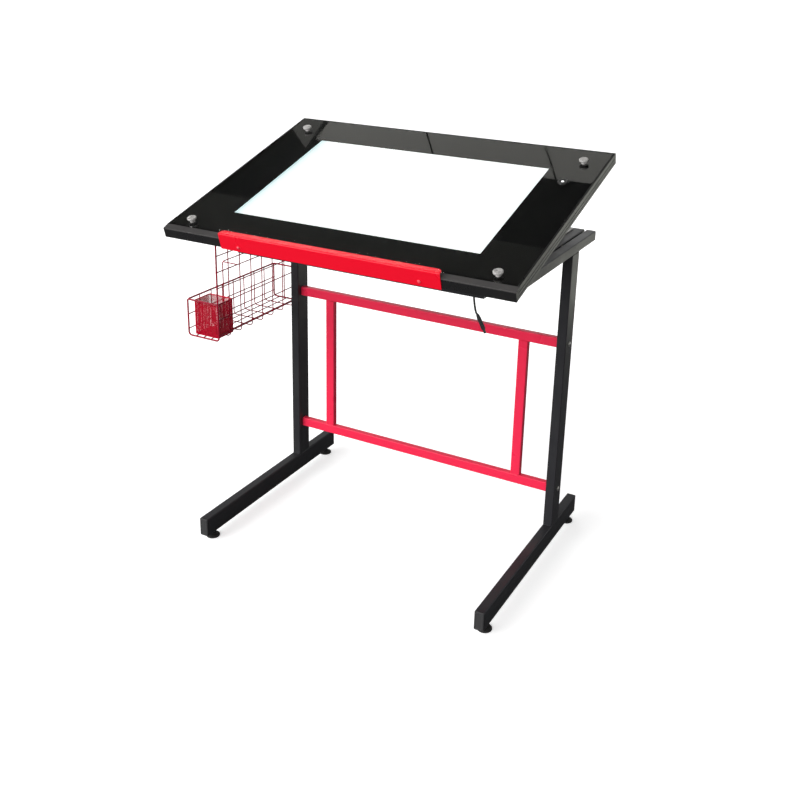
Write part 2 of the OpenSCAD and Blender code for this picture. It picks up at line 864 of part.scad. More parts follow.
// Pressed down it meets the switch at the bottom of the barrel
module dimmer_button() {
    color(black) on_board() translate([dimmer_x, dimmer_s, button_rise - button_len]) {
        cylinder(h = button_len - 0.5, d = button_d, $fn = fine);
        translate([0, 0, button_len - 0.5]) cylinder(h = 0.5, d1 = button_d, d2 = button_d - 1, $fn = fine);
        translate([0, 0, dimmer_travel - (barrel_depth - 2 - button_len + button_rise) + body_gap])
            cylinder(h = 4, d = button_d / 2, $fn = fine);
    }
}

// Red folded stop along the front edge: a skirt, a fold and a flange with round rear corners
module paper_stop() {
    corner = stop_flange - fold_s - 2;
    color(red) on_board() {
        translate([-stop_w / 2, 0, 0]) along_x(stop_w) {
            translate([-stop_t, -stop_drop]) square([stop_t, stop_drop + fold_h]);
            translate([fold_s, fold_h]) intersection() {
                difference() {
                    circle(stop_fold_r, $fn = fine);
                    circle(fold_s, $fn = fine);
                }
                translate([-stop_fold_r, 0]) square(stop_fold_r);
            }
            translate([fold_s, stop_rise - stop_t]) square([2, stop_t]);
        }
        translate([0, fold_s + 2, stop_rise - stop_t]) linear_extrude(stop_t) {
            translate([corner - stop_w / 2, 0]) square([stop_w - 2 * corner, corner]);
            for (sx = [-1, 1]) translate([sx * (stop_w / 2 - corner), 0]) intersection() {
                circle(corner, $fn = fine);
                translate([-corner, 0]) square([2 * corner, corner]);
            }
        }
    }
}

module paper_stop_screws() {
    color(red) on_board() for (sx = [-1, 1]) translate([sx * stop_screw_x, -stop_t, stop_screw_h]) {
        rod_y(-1.2, 0, stop_screw_head_d);
        translate([0, -1.2, 0]) rotate([90, 0, 0])
            cylinder(h = 1, d1 = stop_screw_head_d, d2 = stop_screw_head_d * 0.6, $fn = small);
    }
}

// Strain relief under the tray
module cable_gland() {
    color(black) on_board() translate([gland_x, gland_s, 0]) difference() {
        union() {
            translate([0, 0, -board_t - gland_len])
                cylinder(h = gland_len, d1 = gland_d - 3, d2 = gland_d, $fn = fine);
            translate([0, 0, -board_t]) cylinder(h = tray_floor, d = gland_d - 3, $fn = fine);
            translate([0, 0, floor_h]) cylinder(h = 2, d = gland_d, $fn = fine);
        }
        translate([0, 0, -board_t - gland_len / 2]) cylinder(h = 30, d = lead_d, $fn = fine);
    }
}

// Lead: a tube with flat ends swept along the points, which start at the mouth of the gland
function unit(a) = a / norm(a);
function turned(p) = [p.x, p.y * cos(tilt) - p.z * sin(tilt), p.y * sin(tilt) + p.z * cos(tilt)];
lead_start = turned([gland_x, gland_s - hinge_s, -gland_len + hinge_drop]) + [0, hinge_y, hinge_z];
lead_exit = turned([0, 0, -1]);
lead_path = [for (p = lead_points) lead_start + p];
lead_last = len(lead_points) - 1;
lead_dirs = [
    for (k = [0 : lead_last])
        k == 0 ? lead_exit : unit(lead_path[min(k + 1, lead_last)] - lead_path[k - 1])
];

module power_lead() {
    rings = [
        for (k = [0 : lead_last])
            let (side_dir = unit(cross([0, 1, 0.3], lead_dirs[k])), up_dir = cross(lead_dirs[k], side_dir))
            [for (a = [0 : lead_sides - 1])
                lead_path[k] + lead_d / 2 * (cos(a * 360 / lead_sides) * side_dir
                    + sin(a * 360 / lead_sides) * up_dir)]
    ];
    points = [for (r = rings, p = r) p];
    sides = [
        for (k = [0 : lead_last - 1], a = [0 : lead_sides - 1])
            let (b = (a + 1) % lead_sides, i = k * lead_sides, j = i + lead_sides)
            [i + a, i + b, j + b, j + a]
    ];
    ends = [
        [for (a = [lead_sides - 1 : -1 : 0]) a],
        [for (a = [0 : lead_sides - 1]) lead_last * lead_sides + a]
    ];
    color(black) at_desk() polyhedron(points, concat(sides, ends));
}

// In-line connector at the end of the lead
module lead_connector() {
    d = lead_dirs[lead_last];
    color(black) at_desk() translate(lead_path[lead_last])
        rotate([0, acos(d.z), atan2(d.y, d.x)]) {
            cylinder(h = 8, d1 = lead_d + 2, d2 = connector_d, $fn = fine);
            translate([0, 0, 8]) cylinder(h = connector_len - 16, d = connector_d, $fn = fine);
            translate([0, 0, connector_len - 8]) cylinder(h = 8, d = connector_d - 3, $fn = fine);
        }
}

// Stay arm, in the desk frame, from its upper pivot to the clamp stud at its foot
module stay_arm() {
    translate([arm_in, foot_now, hinge_z]) rotate([180 - tilt, 0, 0]) {
        difference() {
            union() {
                for (y = [0, stay_len]) translate([0, y, 0]) rod_x(0, arm_t, 2 * lug_r);
                translate([0, 0, -lug_r]) cube([arm_t, stay_len, 2 * lug_r]);
            }
            translate([0, stay_len, 0]) rod_x(-1, arm_t + 1, pin_d + 2 * pin_fit);
        }
        rod_x(arm_t, arm_t + 2, rivet_d);
        rod_x(knob_out - knob_t + 4 - arm_in, arm_t, pin_d);
    }
}

module left_stay_arm() {
    color(steel) at_desk() mirror([1, 0, 0]) stay_arm();
}

module right_stay_arm() {
    color(steel) at_desk() stay_arm();
}

// Star knob on the clamp stud, with a hub that reaches the track
module clamp_knob() {
    translate([0, foot_now, hinge_z]) difference() {
        union() {
            rod_x(knob_out - knob_t, knob_out - 6, knob_d);
            rod_x(knob_out - 6, hub_out, knob_hub_d);
        }
        for (k = [0 : lobes - 1]) rotate([k * 360 / lobes, 0, 0])
            translate([0, knob_d / 2 + 3, 0]) rod_x(knob_out - knob_t - 1, knob_out - 5, 11);
        rod_x(knob_out - knob_t + 3, hub_out + 1, pin_d + 2 * pin_fit);
    }
}

module left_clamp_knob() {
    color(black) at_desk() mirror([1, 0, 0]) clamp_knob();
}

module right_clamp_knob() {
    color(black) at_desk() clamp_knob();
}

// Thickness of the basket's k-th hoop: the end hoops are frame wires
function hoop_d(k) = k == 0 || k == bays ? frame_wire_d : wire_d;

// Quarter bend of a wire in the XZ plane, between the directions -X and -Z from its centre
module wire_elbow(bend, d) {
    rotate([90, 0, 0]) mirror([0, 1, 0]) mirror([1, 0, 0])
        rotate_extrude(angle = 90, $fn = fine) translate([bend, 0]) circle(d = d, $fn = small);
}

// Tall panel of the basket, beside the leg, with the lower bends of its wires
module basket_back() {
    color(red) at_desk() {
        for (k = [0 : bays]) translate([panel_x, basket_y0 + k * grid_y, 0]) {
            rod_z(bend_z, panel_top_z + 2, hoop_d(k));
            translate([-wire_bend, 0, bend_z]) mirror([1, 0, 0]) wire_elbow(wire_bend, hoop_d(k));
        }
        for (row = panel_rows)
            translate([panel_x - cross, 0, basket_floor_z + row])
                rod_y(basket_y0, basket_y1, row == panel_rows[0] ? panel_bar_d : wire_d);
        translate([panel_x - cross, 0, panel_top_z]) rod_y(basket_y0, basket_y1, panel_bar_d);
    }
}

// Hooks that go over the rail and down into the slot beside it
module basket_hooks() {
    bend_at = hook_z - hook_bend;
    color(red) at_desk() for (k = hook_bays) translate([0, basket_y0 + k * grid_y, 0]) {
        translate([panel_x, 0, 0]) rod_z(panel_top_z + 2, bend_at, hook_d);
        translate([panel_x + hook_bend, 0, bend_at]) mirror([0, 0, 1]) wire_elbow(hook_bend, hook_d);
        translate([0, 0, hook_z]) rod_x(panel_x + hook_bend, hook_x - hook_bend, hook_d);
        translate([hook_x - hook_bend, 0, bend_at]) mirror([1, 0, 0]) mirror([0, 0, 1])
            wire_elbow(hook_bend, hook_d);
        translate([hook_x, 0, 0]) rod_z(bend_at - hook_down, bend_at, hook_d);
    }
}

// Flat lower part of the hoops with the long wires that lie on them
module basket_floor() {
    color(red) at_desk() {
        for (k = [0 : bays]) translate([0, basket_y0 + k * grid_y, basket_floor_z])
            rod_x(outer_x + wire_bend, panel_x - wire_bend, hoop_d(k));
        for (row = floor_rows)
            translate([panel_x - row * basket_w, 0, basket_floor_z + cross])
                rod_y(basket_y0, basket_y1, wire_d);
    }
}

// Low outer wall of the basket, with the lower bends of its wires
module basket_outer_wall() {
    color(red) at_desk() {
        for (k = [0 : bays]) translate([outer_x, basket_y0 + k * grid_y, 0]) {
            rod_z(bend_z, rim_z - frame_r, hoop_d(k));
            translate([wire_bend, 0, bend_z]) wire_elbow(wire_bend, hoop_d(k));
        }
        for (row = wall_rows)
            translate([outer_x + cross, 0, basket_floor_z + row * basket_wall_h])
                rod_y(basket_y0, basket_y1, wire_d);
    }
}

// Thick rim wire: along the outer wall and back to the panel at both ends
module basket_rim() {
    color(red) at_desk() translate([0, 0, rim_z]) {
        translate([outer_x, 0, 0]) rod_y(basket_y0 + rim_bend, basket_y1 - rim_bend, frame_wire_d);
        for (y = [basket_y0, basket_y1]) translate([0, y, 0])
            rod_x(outer_x + rim_bend, panel_x - cross - wire_r - 0.05, frame_wire_d);
        translate([outer_x + rim_bend, basket_y0 + rim_bend, 0]) rotate([0, 0, 180])
            rotate_extrude(angle = 90, $fn = fine) translate([rim_bend, 0]) circle(frame_r, $fn = small);
        translate([outer_x + rim_bend, basket_y1 - rim_bend, 0]) rotate([0, 0, 90])
            rotate_extrude(angle = 90, $fn = fine) translate([rim_bend, 0]) circle(frame_r, $fn = small);
    }
}

// Raised divider behind the pen cup: two hoops from the panel to the floor and a wire along their top
module basket_divider() {
    corner_x = panel_x - divider_w + divider_bend;
    from_x = panel_x - cross - wire_r - 0.1;
    from_z = basket_floor_z + cross + wire_r + 0.1;
    top_z = basket_floor_z + divider_h;
    color(red) at_desk() {
        for (y = [divider_y0, divider_y1]) translate([0, y, 0]) {
            translate([0, 0, top_z]) rod_x(corner_x, from_x, wire_d);
            translate([corner_x, 0, top_z - divider_bend]) mirror([0, 0, 1]) wire_elbow(divider_bend, wire_d);
            translate([panel_x - divider_w, 0, 0]) rod_z(from_z, top_z - divider_bend, wire_d);
        }
        translate([corner_x, 0, top_z + cross]) rod_y(divider_y0, divider_y1, wire_d);
    }
}

// One wall of the pen cup: a sheet along X with rows of square holes and a wire folded into its top edge
module cup_wall(w, rim_in) {
    step_x = (w - 4) / cup_cols;
    step_z = (cup_h - 8) / cup_rows;
    difference() {
        union() {
            cube([w, cup_t, cup_h - cup_rim_d / 2]);
            translate([0, cup_t / 2, cup_h - cup_rim_d / 2]) rod_x(rim_in, w - rim_in, cup_rim_d);
        }
        for (i = [0 : cup_cols - 1], j = [0 : cup_rows - 1])
            translate([2 + (i + 0.5) * step_x - cup_hole / 2, -1, 3 + (j + 0.5) * step_z - cup_hole / 2])
                cube([cup_hole, cup_t + 2, cup_hole]);
    }
}

// Pen cup: two full-width walls, two walls that stand between them, and a floor sheet
module pen_cup() {
    inset = cup_t + cup_seam;
    side_w = cup_d - 2 * inset;
    rim_in = (cup_rim_d - cup_t) / 2;
    color(red) at_desk() translate([cup_x - cup_w, cup_y, cup_z]) {
        translate([inset, inset, 0]) cube([cup_w - 2 * inset, side_w, cup_t]);
        for (y = [0, cup_d - cup_t]) translate([0, y, 0]) cup_wall(cup_w, inset);
        for (x = [cup_t, cup_w]) translate([x, inset, 0]) rotate([0, 0, 90]) cup_wall(side_w, rim_in);
    }
}

left_foot();
right_foot();
foot_end_caps();
left_upright();
right_upright();
left_top_rail();
right_top_rail();
rail_end_caps();
upper_stretcher();
lower_stretcher();
stretcher_stiles();
stretcher_bolts();
threaded_inserts();
left_side_tube();
right_side_tube();
front_cross_beam();
rear_cross_beam();
frame_bolts();
frame_spacers();
hinge_brackets();
hinge_pins();
left_stay_track();
right_stay_track();
front_left_leveller();
front_right_leveller();
rear_left_leveller();
rear_right_leveller();
tray_shell();
front_trim();
glass_top();
border_mask();
diffuser();
light_guide();
reflector();
led_strips();
panel_frame();
driver_board();
board_hinge_plates();
stay_brackets();
stay_pivot_pins();
glass_screws();
screw_sleeves();
dimmer_bezel();
dimmer_button();
paper_stop();
paper_stop_screws();
cable_gland();
power_lead();
lead_connector();
left_stay_arm();
right_stay_arm();
left_clamp_knob();
right_clamp_knob();
basket_back();
basket_hooks();
basket_floor();
basket_outer_wall();
basket_rim();
basket_divider();
pen_cup();
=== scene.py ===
import json
from math import cos, pi, radians, sin, tan

import bmesh
import bpy
from mathutils import Matrix, Vector


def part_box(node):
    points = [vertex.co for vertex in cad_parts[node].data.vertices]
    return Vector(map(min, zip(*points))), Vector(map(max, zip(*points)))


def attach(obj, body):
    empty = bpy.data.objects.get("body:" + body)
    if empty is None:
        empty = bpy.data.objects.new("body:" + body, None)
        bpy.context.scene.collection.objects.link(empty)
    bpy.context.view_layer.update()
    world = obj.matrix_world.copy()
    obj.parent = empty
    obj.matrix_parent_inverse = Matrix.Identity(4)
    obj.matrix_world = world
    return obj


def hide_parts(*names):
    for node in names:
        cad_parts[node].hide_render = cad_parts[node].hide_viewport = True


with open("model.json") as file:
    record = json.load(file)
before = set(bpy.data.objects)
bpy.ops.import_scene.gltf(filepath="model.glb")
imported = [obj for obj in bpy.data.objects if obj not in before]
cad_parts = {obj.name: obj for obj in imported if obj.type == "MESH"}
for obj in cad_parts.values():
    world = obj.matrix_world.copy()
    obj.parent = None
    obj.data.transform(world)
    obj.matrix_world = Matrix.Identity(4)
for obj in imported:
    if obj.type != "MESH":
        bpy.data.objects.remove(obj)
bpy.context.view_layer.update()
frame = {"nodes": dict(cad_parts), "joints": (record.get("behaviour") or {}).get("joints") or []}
node = frame["nodes"]


# Camera: it stands in front of the table and to its right, well above the board, and looks down
# over the glass to the basket. Its place, turn and lens come from the corners in the photograph.
def clear():
    """Leaves edit mode with nothing selected, as each new piece starts."""
    if bpy.context.object and bpy.context.object.mode != "OBJECT":
        bpy.ops.object.mode_set(mode="OBJECT")
    bpy.ops.object.select_all(action="DESELECT")


camera_place = Vector((1.04825, -1.863104, 1.31532))
camera_turn, camera_dip, camera_lean = radians(27.47), radians(18.63), radians(-1.55)
ahead = Vector((-sin(camera_turn) * cos(camera_dip), cos(camera_turn) * cos(camera_dip), -sin(camera_dip)))
level = Vector((cos(camera_turn), sin(camera_turn), 0))
under = ahead.cross(level)
right = cos(camera_lean) * level + sin(camera_lean) * under
up = sin(camera_lean) * level - cos(camera_lean) * under
clear()
bpy.ops.object.camera_add()
camera = bpy.context.object
camera.name = "camera"
camera.matrix_world = Matrix.Translation(camera_place) @ Matrix((right, up, -ahead)).transposed().to_4x4()
camera.data.lens = 45.554
camera.data.shift_x = -0.01916
camera.data.shift_y = -0.1309
camera.data.clip_end = 500
bpy.context.scene.camera = camera


# Studio: a wide pale floor, a pale surround that is brightest to the front left, and two soft
# lamps. Polished faces mirror a dim floor and a dark ceiling, so that black glass and black paint
# read as black.
board_slope = radians(17)
hinge_to_board = Vector((0, -0.113, 0.042))
board_tilt = [j for j in frame["joints"] if j["name"] == "board_tilt"][0]
on_board = (Matrix.Translation(board_tilt["pos_m"]) @ Matrix.Rotation(board_slope, 4, "X")
            @ Matrix.Translation(hinge_to_board))
white = (1, 1, 1, 1)
bpy.context.scene.view_settings.view_transform = "Standard"


def settle():
    """Puts the active piece's place, turn and scale into its mesh."""
    bpy.ops.object.transform_apply(location=True, rotation=True, scale=True)


def fill(made, values):
    """Gives the inputs of a shader node their values."""
    for name, value in values.items():
        made.inputs[name].default_value = value


def add(tree, kind, values=None, **settings):
    """A new shader node of a kind, with its settings and the values of its inputs."""
    made = tree.nodes.new("ShaderNode" + kind)
    for name, value in settings.items():
        setattr(made, name, value)
    fill(made, values or {})
    return made


def ramp(tree, source, span, to, curve="LINEAR"):
    """Carries a value from one span over to another, and holds it level beyond both ends."""
    made = add(tree, "MapRange", {"From Min": span[0], "From Max": span[1], "To Min": to[0], "To Max": to[1]},
               interpolation_type=curve)
    tree.links.new(source, made.inputs["Value"])
    return made.outputs["Result"]


def mixed(tree, source, first, second):
    """A colour between two others, by a value from 0 to 1."""
    made = add(tree, "Mix", data_type="RGBA")
    fill(made, {"A": (*first, 1), "B": (*second, 1)})
    tree.links.new(source, made.inputs["Factor"])
    return made.outputs["Result"]


def shader_of(material):
    """The main shader of a material."""
    return material.node_tree.nodes["Principled BSDF"]


def new_material(name):
    """A new material, with its node tree and its main shader."""
    made = bpy.data.materials.new(name)
    made.use_nodes = True
    return made, made.node_tree, shader_of(made)


clear()
bpy.ops.mesh.primitive_plane_add(size=240, location=(0, 60, 0))
settle()
studio_floor = bpy.context.object
studio_floor.name = "studio_floor"
floor_paint, nt, shader = new_material("floor_paint")
fill(shader, {"Roughness": 0.85, "Specular IOR Level": 0.2})
fill(shader, {"Emission Color": white, "Emission Strength": 0.5})
where = add(nt, "TexCoord").outputs["Object"]
cloud = add(nt, "TexNoise", {"Scale": 0.6})
nt.links.new(where, cloud.inputs["Vector"])
pale = mixed(nt, cloud.outputs["Fac"], (0.86, 0.86, 0.86), (0.9, 0.9, 0.9))
nt.links.new(pale, shader.inputs["Base Color"])
axes = add(nt, "SeparateXYZ")
nt.links.new(where, axes.inputs["Vector"])
far_floor = ramp(nt, axes.outputs["Y"], (1.45, 1.85), (0, 1), "SMOOTHSTEP")
dim_floor = add(nt, "BsdfDiffuse")
nt.links.new(mixed(nt, far_floor, (0.13, 0.13, 0.135), (0.92, 0.93, 0.84)), dim_floor.inputs["Color"])
seen = add(nt, "MixShader")
nt.links.new(add(nt, "LightPath").outputs["Is Camera Ray"], seen.inputs["Fac"])
nt.links.new(dim_floor.outputs["BSDF"], seen.inputs[1])
nt.links.new(shader.outputs["BSDF"], seen.inputs[2])
nt.links.new(seen.outputs["Shader"], nt.nodes["Material Output"].inputs["Surface"])
studio_floor.data.materials.append(floor_paint)

surround = bpy.data.worlds.new("surround")
bpy.context.scene.world = surround
surround.use_nodes = True
nt = surround.node_tree
nt.nodes.clear()
way_out = add(nt, "TexCoord").outputs["Generated"]
to_window = Vector((-0.42, -0.9, 0.1)).normalized()
toward = add(nt, "VectorMath", {1: to_window}, operation="DOT_PRODUCT")
nt.links.new(way_out, toward.inputs[0])
even = add(nt, "Background", {"Color": white})
window_light = ramp(nt, toward.outputs["Value"], (0.3, 0.95), (0.3, 3.4), "SMOOTHSTEP")
nt.links.new(window_light, even.inputs["Strength"])
axes = add(nt, "SeparateXYZ")
nt.links.new(way_out, axes.inputs["Vector"])
mirrored = add(nt, "Background")
dark_ceiling = ramp(nt, axes.outputs["Z"], (0.34, 0.5), (1.0, 0.035), "SMOOTHSTEP")
nt.links.new(dark_ceiling, mirrored.inputs["Strength"])
plain = add(nt, "Background", {"Color": white, "Strength": 1.0})
ray = add(nt, "LightPath")
light = even.outputs["Background"]
for kind, other in (("Is Glossy Ray", mirrored), ("Is Camera Ray", plain)):
    choose = add(nt, "MixShader")
    nt.links.new(ray.outputs[kind], choose.inputs["Fac"])
    nt.links.new(light, choose.inputs[1])
    nt.links.new(other.outputs["Background"], choose.inputs[2])
    light = choose.outputs["Shader"]
nt.links.new(light, add(nt, "OutputWorld").inputs["Surface"])


def lamp(name, place, aim, width, height, power, mirrors):
    """A soft box that faces the point aim; polished faces mirror it if mirrors is true."""
    clear()
    bpy.ops.object.light_add(type="AREA", location=place)
    box = bpy.context.object
    box.name = name
    box.rotation_euler = (Vector(aim) - Vector(place)).to_track_quat("-Z", "Y").to_euler()
    box.data.shape = "RECTANGLE"
    box.data.size = width
    box.data.size_y = height
    box.data.energy = power
    box.visible_glossy = mirrors


lamp("lamp_front_left", (-2.0, -3.2, 1.7), aim=(0, 0, 0.5), width=2.2, height=1.6, power=40, mirrors=True)
lamp("lamp_rear_left", (-1.8, 3.0, 2.0), aim=(0, 0, 0.6), width=1.8, height=1.8, power=25, mirrors=False)

# Pale wall panels hang behind the table where the rear strip of the glass mirrors them to the
# camera, with narrow dark joints between them. Each is given by where it shows on the board, across
# and up the slope, and hangs on the mirrored line of sight, reach times as far away.
mirror_up = (on_board.to_3x3() @ Vector((0, 0, 1))).normalized()
glass_mid = on_board @ Vector((0, 0, 0))
camera_in_glass = camera_place - 2 * (camera_place - glass_mid).dot(mirror_up) * mirror_up
reach = 2.1


def glowing(name, strength):
    """A material that is black but for its own glow."""
    made, _, shader = new_material(name)
    fill(shader, {"Base Color": (0, 0, 0, 1)})
    fill(shader, {"Emission Color": (1, 0.99, 0.93, 1), "Emission Strength": strength})
    return made


card_white, card_grey = glowing("card_white", 0.64), glowing("card_grey", 0.26)
card_dim, card_lip = glowing("card_dim", 0.055), glowing("card_lip", 10)
low_s, top_s, gap = 0.412, 0.60, 0.0022
left_low, left_top = 0.038, -0.087
right_low, right_top = 0.318, 0.214
panels = [
    (card_white, [(-0.303, 0.455), (-0.15, low_s), (left_low - gap, low_s), (left_top - gap, top_s),
                  (-0.335, top_s)]),
    (card_white, [(left_low + gap, low_s), (right_low - gap, low_s), (right_top - gap, top_s),
                  (left_top + gap, top_s)]),
    (card_white, [(right_low + gap, low_s), (0.60, low_s), (0.60, top_s), (right_top + gap, top_s)]),
    (card_grey, [(-0.301, 0.407), (-0.318, 0.47), (-0.352, top_s), (-0.50, top_s), (-0.50, 0.59)]),
    (card_dim, [(-0.50, 0.02), (0.60, 0.02), (0.60, 0.146), (-0.50, 0.162)]),
    (card_lip, [(-0.2525, -0.02), (0.2525, -0.02), (0.2525, 0.0135), (-0.2525, 0.0135)]),
]
for k, (glow, corners) in enumerate(panels):
    clear()
    bpy.ops.mesh.primitive_circle_add(vertices=len(corners), radius=1, fill_type="NGON")
    card = bpy.context.object
    card.name = "pale_panel_" + str(k)
    for spot, (x, s) in zip(card.data.vertices, corners):
        seen_at = on_board @ Vector((x, s, 0))
        spot.co = camera_in_glass + reach * (seen_at - camera_in_glass)
    card.visible_camera = False
    card.visible_diffuse = False
    card.visible_shadow = False
    card.data.materials.append(glow)


# Power lead: a thin round black lead that hangs from the board, stiff for its thickness. It runs
# straight down out of its gland and then swings a little to the right, to an in-line connector.
lead_thick = 0.004
lead_start = Vector((0.3113, -0.217979, 0.746652))
lead_way = [
    (0, 0, 0), (0, 1.8, -6), (0.4, 3.6, -14), (1.4, 4.6, -24), (2.6, 4.8, -34), (4, 4.8, -44),
    (5.6, 4.8, -55), (7.6, 5, -64), (9.6, 5.2, -70), (12.2, 5.4, -73.2),
]
gland_place, tray_deep = (284, 62), 24


def only(piece):
    """Leaves one piece selected and active."""
    clear()
    piece.select_set(True)
    bpy.context.view_layer.objects.active = piece


def finish(name, colour, second, blotch, rough, grain, bump, metal=0.0, coat=0.0, specular=0.5):
    """A material whose colour drifts between two shades, whose gloss varies, and whose surface has a
    fine relief. blotch and grain are the two patterns' counts to the metre, bump is in metres."""
    made, nt, shader = new_material(name)
    fill(shader, {"Metallic": metal, "Specular IOR Level": specular})
    fill(shader, {"Coat Weight": coat, "Coat Roughness": 0.08})
    where = add(nt, "TexCoord", name="where")
    cloud = add(nt, "TexNoise", {"Scale": blotch, "Detail": 5})
    fine = add(nt, "TexNoise", {"Scale": grain, "Detail": 2})
    relief = add(nt, "Bump", {"Strength": 1, "Distance": bump})
    for texture in (cloud, fine):
        nt.links.new(where.outputs["Object"], texture.inputs["Vector"])
    nt.links.new(mixed(nt, cloud.outputs["Fac"], colour, second), shader.inputs["Base Color"])
    nt.links.new(ramp(nt, cloud.outputs["Fac"], (0.35, 0.65), rough), shader.inputs["Roughness"])
    nt.links.new(fine.outputs["Fac"], relief.inputs["Height"])
    nt.links.new(relief.outputs["Normal"], shader.inputs["Normal"])
    return made


def dress(piece, body, slot, material, *stands_for, smooth=30):
    """Brings a finished piece to rest: its place goes into its mesh, and it rides on its body."""
    only(piece)
    settle()
    if smooth:
        bpy.ops.object.shade_smooth_by_angle(angle=radians(smooth))
        even_out = piece.modifiers.new("even_out", "WEIGHTED_NORMAL")
        even_out.keep_sharp = True
        bpy.ops.object.modifier_apply(modifier="even_out")
    piece.data.materials.clear()
    piece.data.materials.append(material)
    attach(piece, body)
    if stands_for:
        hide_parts(*stands_for)


def turned(name, outline, sides=48, closed=True):
    """A turned piece: a disc, or an open ring, that is drawn up along an outline of (radius, height)."""
    clear()
    bpy.ops.mesh.primitive_circle_add(vertices=sides, radius=outline[0][0],
                                      fill_type="NGON" if closed else "NOTHING")
    piece = bpy.context.object
    piece.name = name
    bpy.ops.object.mode_set(mode="EDIT")
    if not closed:
        bpy.ops.mesh.select_mode(type="EDGE")
        bpy.ops.mesh.select_all(action="SELECT")
    if outline[0][1]:
        bpy.ops.transform.translate(value=(0, 0, outline[0][1]))
    for (r0, z0), (r1, z1) in zip(outline, outline[1:]):
        bpy.ops.mesh.extrude_region_move(TRANSFORM_OT_translate={"value": (0, 0, z1 - z0)})
        if r1 != r0:
            bpy.ops.transform.resize(value=(r1 / r0, r1 / r0, 1), center_override=(0, 0, z1))
    bpy.ops.mesh.select_all(action="SELECT")
    bpy.ops.mesh.remove_doubles(threshold=0.00001)
    bpy.ops.mesh.normals_make_consistent(inside=False)
    bpy.ops.object.mode_set(mode="OBJECT")
    return piece


def lay_out(piece, place):
    """Moves a piece's mesh by a matrix, such as the board's slope."""
    piece.data.transform(place)
    piece.data.update()
    return piece


def board_point(x, s, h=0):
    """The matrix that lays a piece on the board, in millimetres across, up the slope and above it."""
    return on_board @ Matrix.Translation((x / 1000, s / 1000, h / 1000))


lead_black = finish("lead_black", (0.012, 0.012, 0.013), (0.02, 0.02, 0.021), 60, (0.45, 0.6), 900, 0.00004)
lead_points = [lead_start + Vector(p) / 1000 for p in lead_way]
clear()
bpy.ops.curve.primitive_bezier_curve_add()
power_lead = bpy.context.object
power_lead.name = "power_lead_skin"
run = power_lead.data.splines[0]
run.bezier_points.add(len(lead_points) - 2)
for knot, point in zip(run.bezier_points, lead_points):
    knot.co = point
    knot.handle_left_type = knot.handle_right_type = "AUTO"
power_lead.data.resolution_u = 4
power_lead.data.bevel_depth = lead_thick / 2
power_lead.data.bevel_resolution = 5
power_lead.data.use_fill_caps = True
power_lead.data.materials.append(lead_black)
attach(power_lead, "board")
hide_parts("power_lead")

# Strain relief: a ribbed black rubber sleeve that tapers down over the lead, held in the floor of
# the tray by its collar.
gland = turned("strain_relief", [
    (0.0021, -0.0105), (0.0032, -0.0105), (0.0036, -0.0098), (0.0036, -0.0088), (0.0030, -0.0085),
    (0.0030, -0.0078), (0.0041, -0.0075), (0.0043, -0.0062), (0.0035, -0.0059), (0.0035, -0.0051),
    (0.0048, -0.0048), (0.0050, -0.0034), (0.0041, -0.0031), (0.0041, -0.0023), (0.0054, -0.0020),
    (0.0060, -0.0015), (0.0060, -0.0002), (0.0058, 0), (0.0045, 0), (0.0045, 0.0016), (0.0060, 0.0016),
    (0.0060, 0.0034), (0.0021, 0.0034),
], 32)
lay_out(gland, board_point(*gland_place, -tray_deep))
dress(gland, "board", "lead_rubber", lead_black, "cable_gland")

# In-line connector: a moulded barrel with grip ribs, crimped on the lead's end, with a plated tip.
tip_way = (lead_points[-1] - lead_points[-3]).normalized()
along_lead = Matrix.Translation(lead_points[-1]) @ tip_way.to_track_quat("Z", "Y").to_matrix().to_4x4()
barrel_line = [(0.0021, -0.0008), (0.0026, -0.0006), (0.0030, 0), (0.0037, 0.0055), (0.0040, 0.0078),
               (0.0040, 0.0100)]
ribs, rib_pitch = 6, 0.0021
for rib in range(ribs):
    z = 0.0108 + rib_pitch * rib
    barrel_line += [(0.0036, z), (0.0036, z + 0.0007), (0.0040, z + 0.0009), (0.0040, z + 0.0019)]
barrel_line += [(0.0040, 0.0292), (0.0037, 0.0299), (0.0026, 0.0300), (0.0001, 0.0300)]
connector = lay_out(turned("lead_barrel", barrel_line, 32), along_lead)
tip_line = [(0.0001, 0.0300), (0.0025, 0.0300), (0.0025, 0.0374), (0.0022, 0.0380), (0.0012, 0.0380),
            (0.0012, 0.0340), (0.0001, 0.0340)]
tip = lay_out(turned("lead_tip", tip_line, 32), along_lead)
dress(connector, "board", "black_plastic", lead_black, "lead_connector")
dark_plating = finish("dark_plating", (0.06, 0.06, 0.06), (0.09, 0.09, 0.088), 300, (0.2, 0.32), 1600,
                      0.00001, metal=0.8)
dress(tip, "board", "chrome", dark_plating)


# Legs: two feet, two uprights and two top rails of rectangular steel tube, welded square and
# powder coated satin black. The coat has a faint orange peel and is a little duller in places.
frame_coat = finish("frame_coat", (0.018, 0.018, 0.021), (0.025, 0.025, 0.027), 14, (0.3, 0.42), 750, 0.00005,
                    specular=0.42)


def coat_nodes(material, *names):
    """Gives pieces that keep their CAD shape their material."""
    for name in names:
        skin = node[name].data
        skin.materials.clear()
        skin.materials.append(material)


coat_nodes(frame_coat, "left_foot", "right_foot", "left_upright", "right_upright", "left_top_rail",
           "right_top_rail", "left_side_tube", "right_side_tube", "front_cross_beam", "rear_cross_beam")


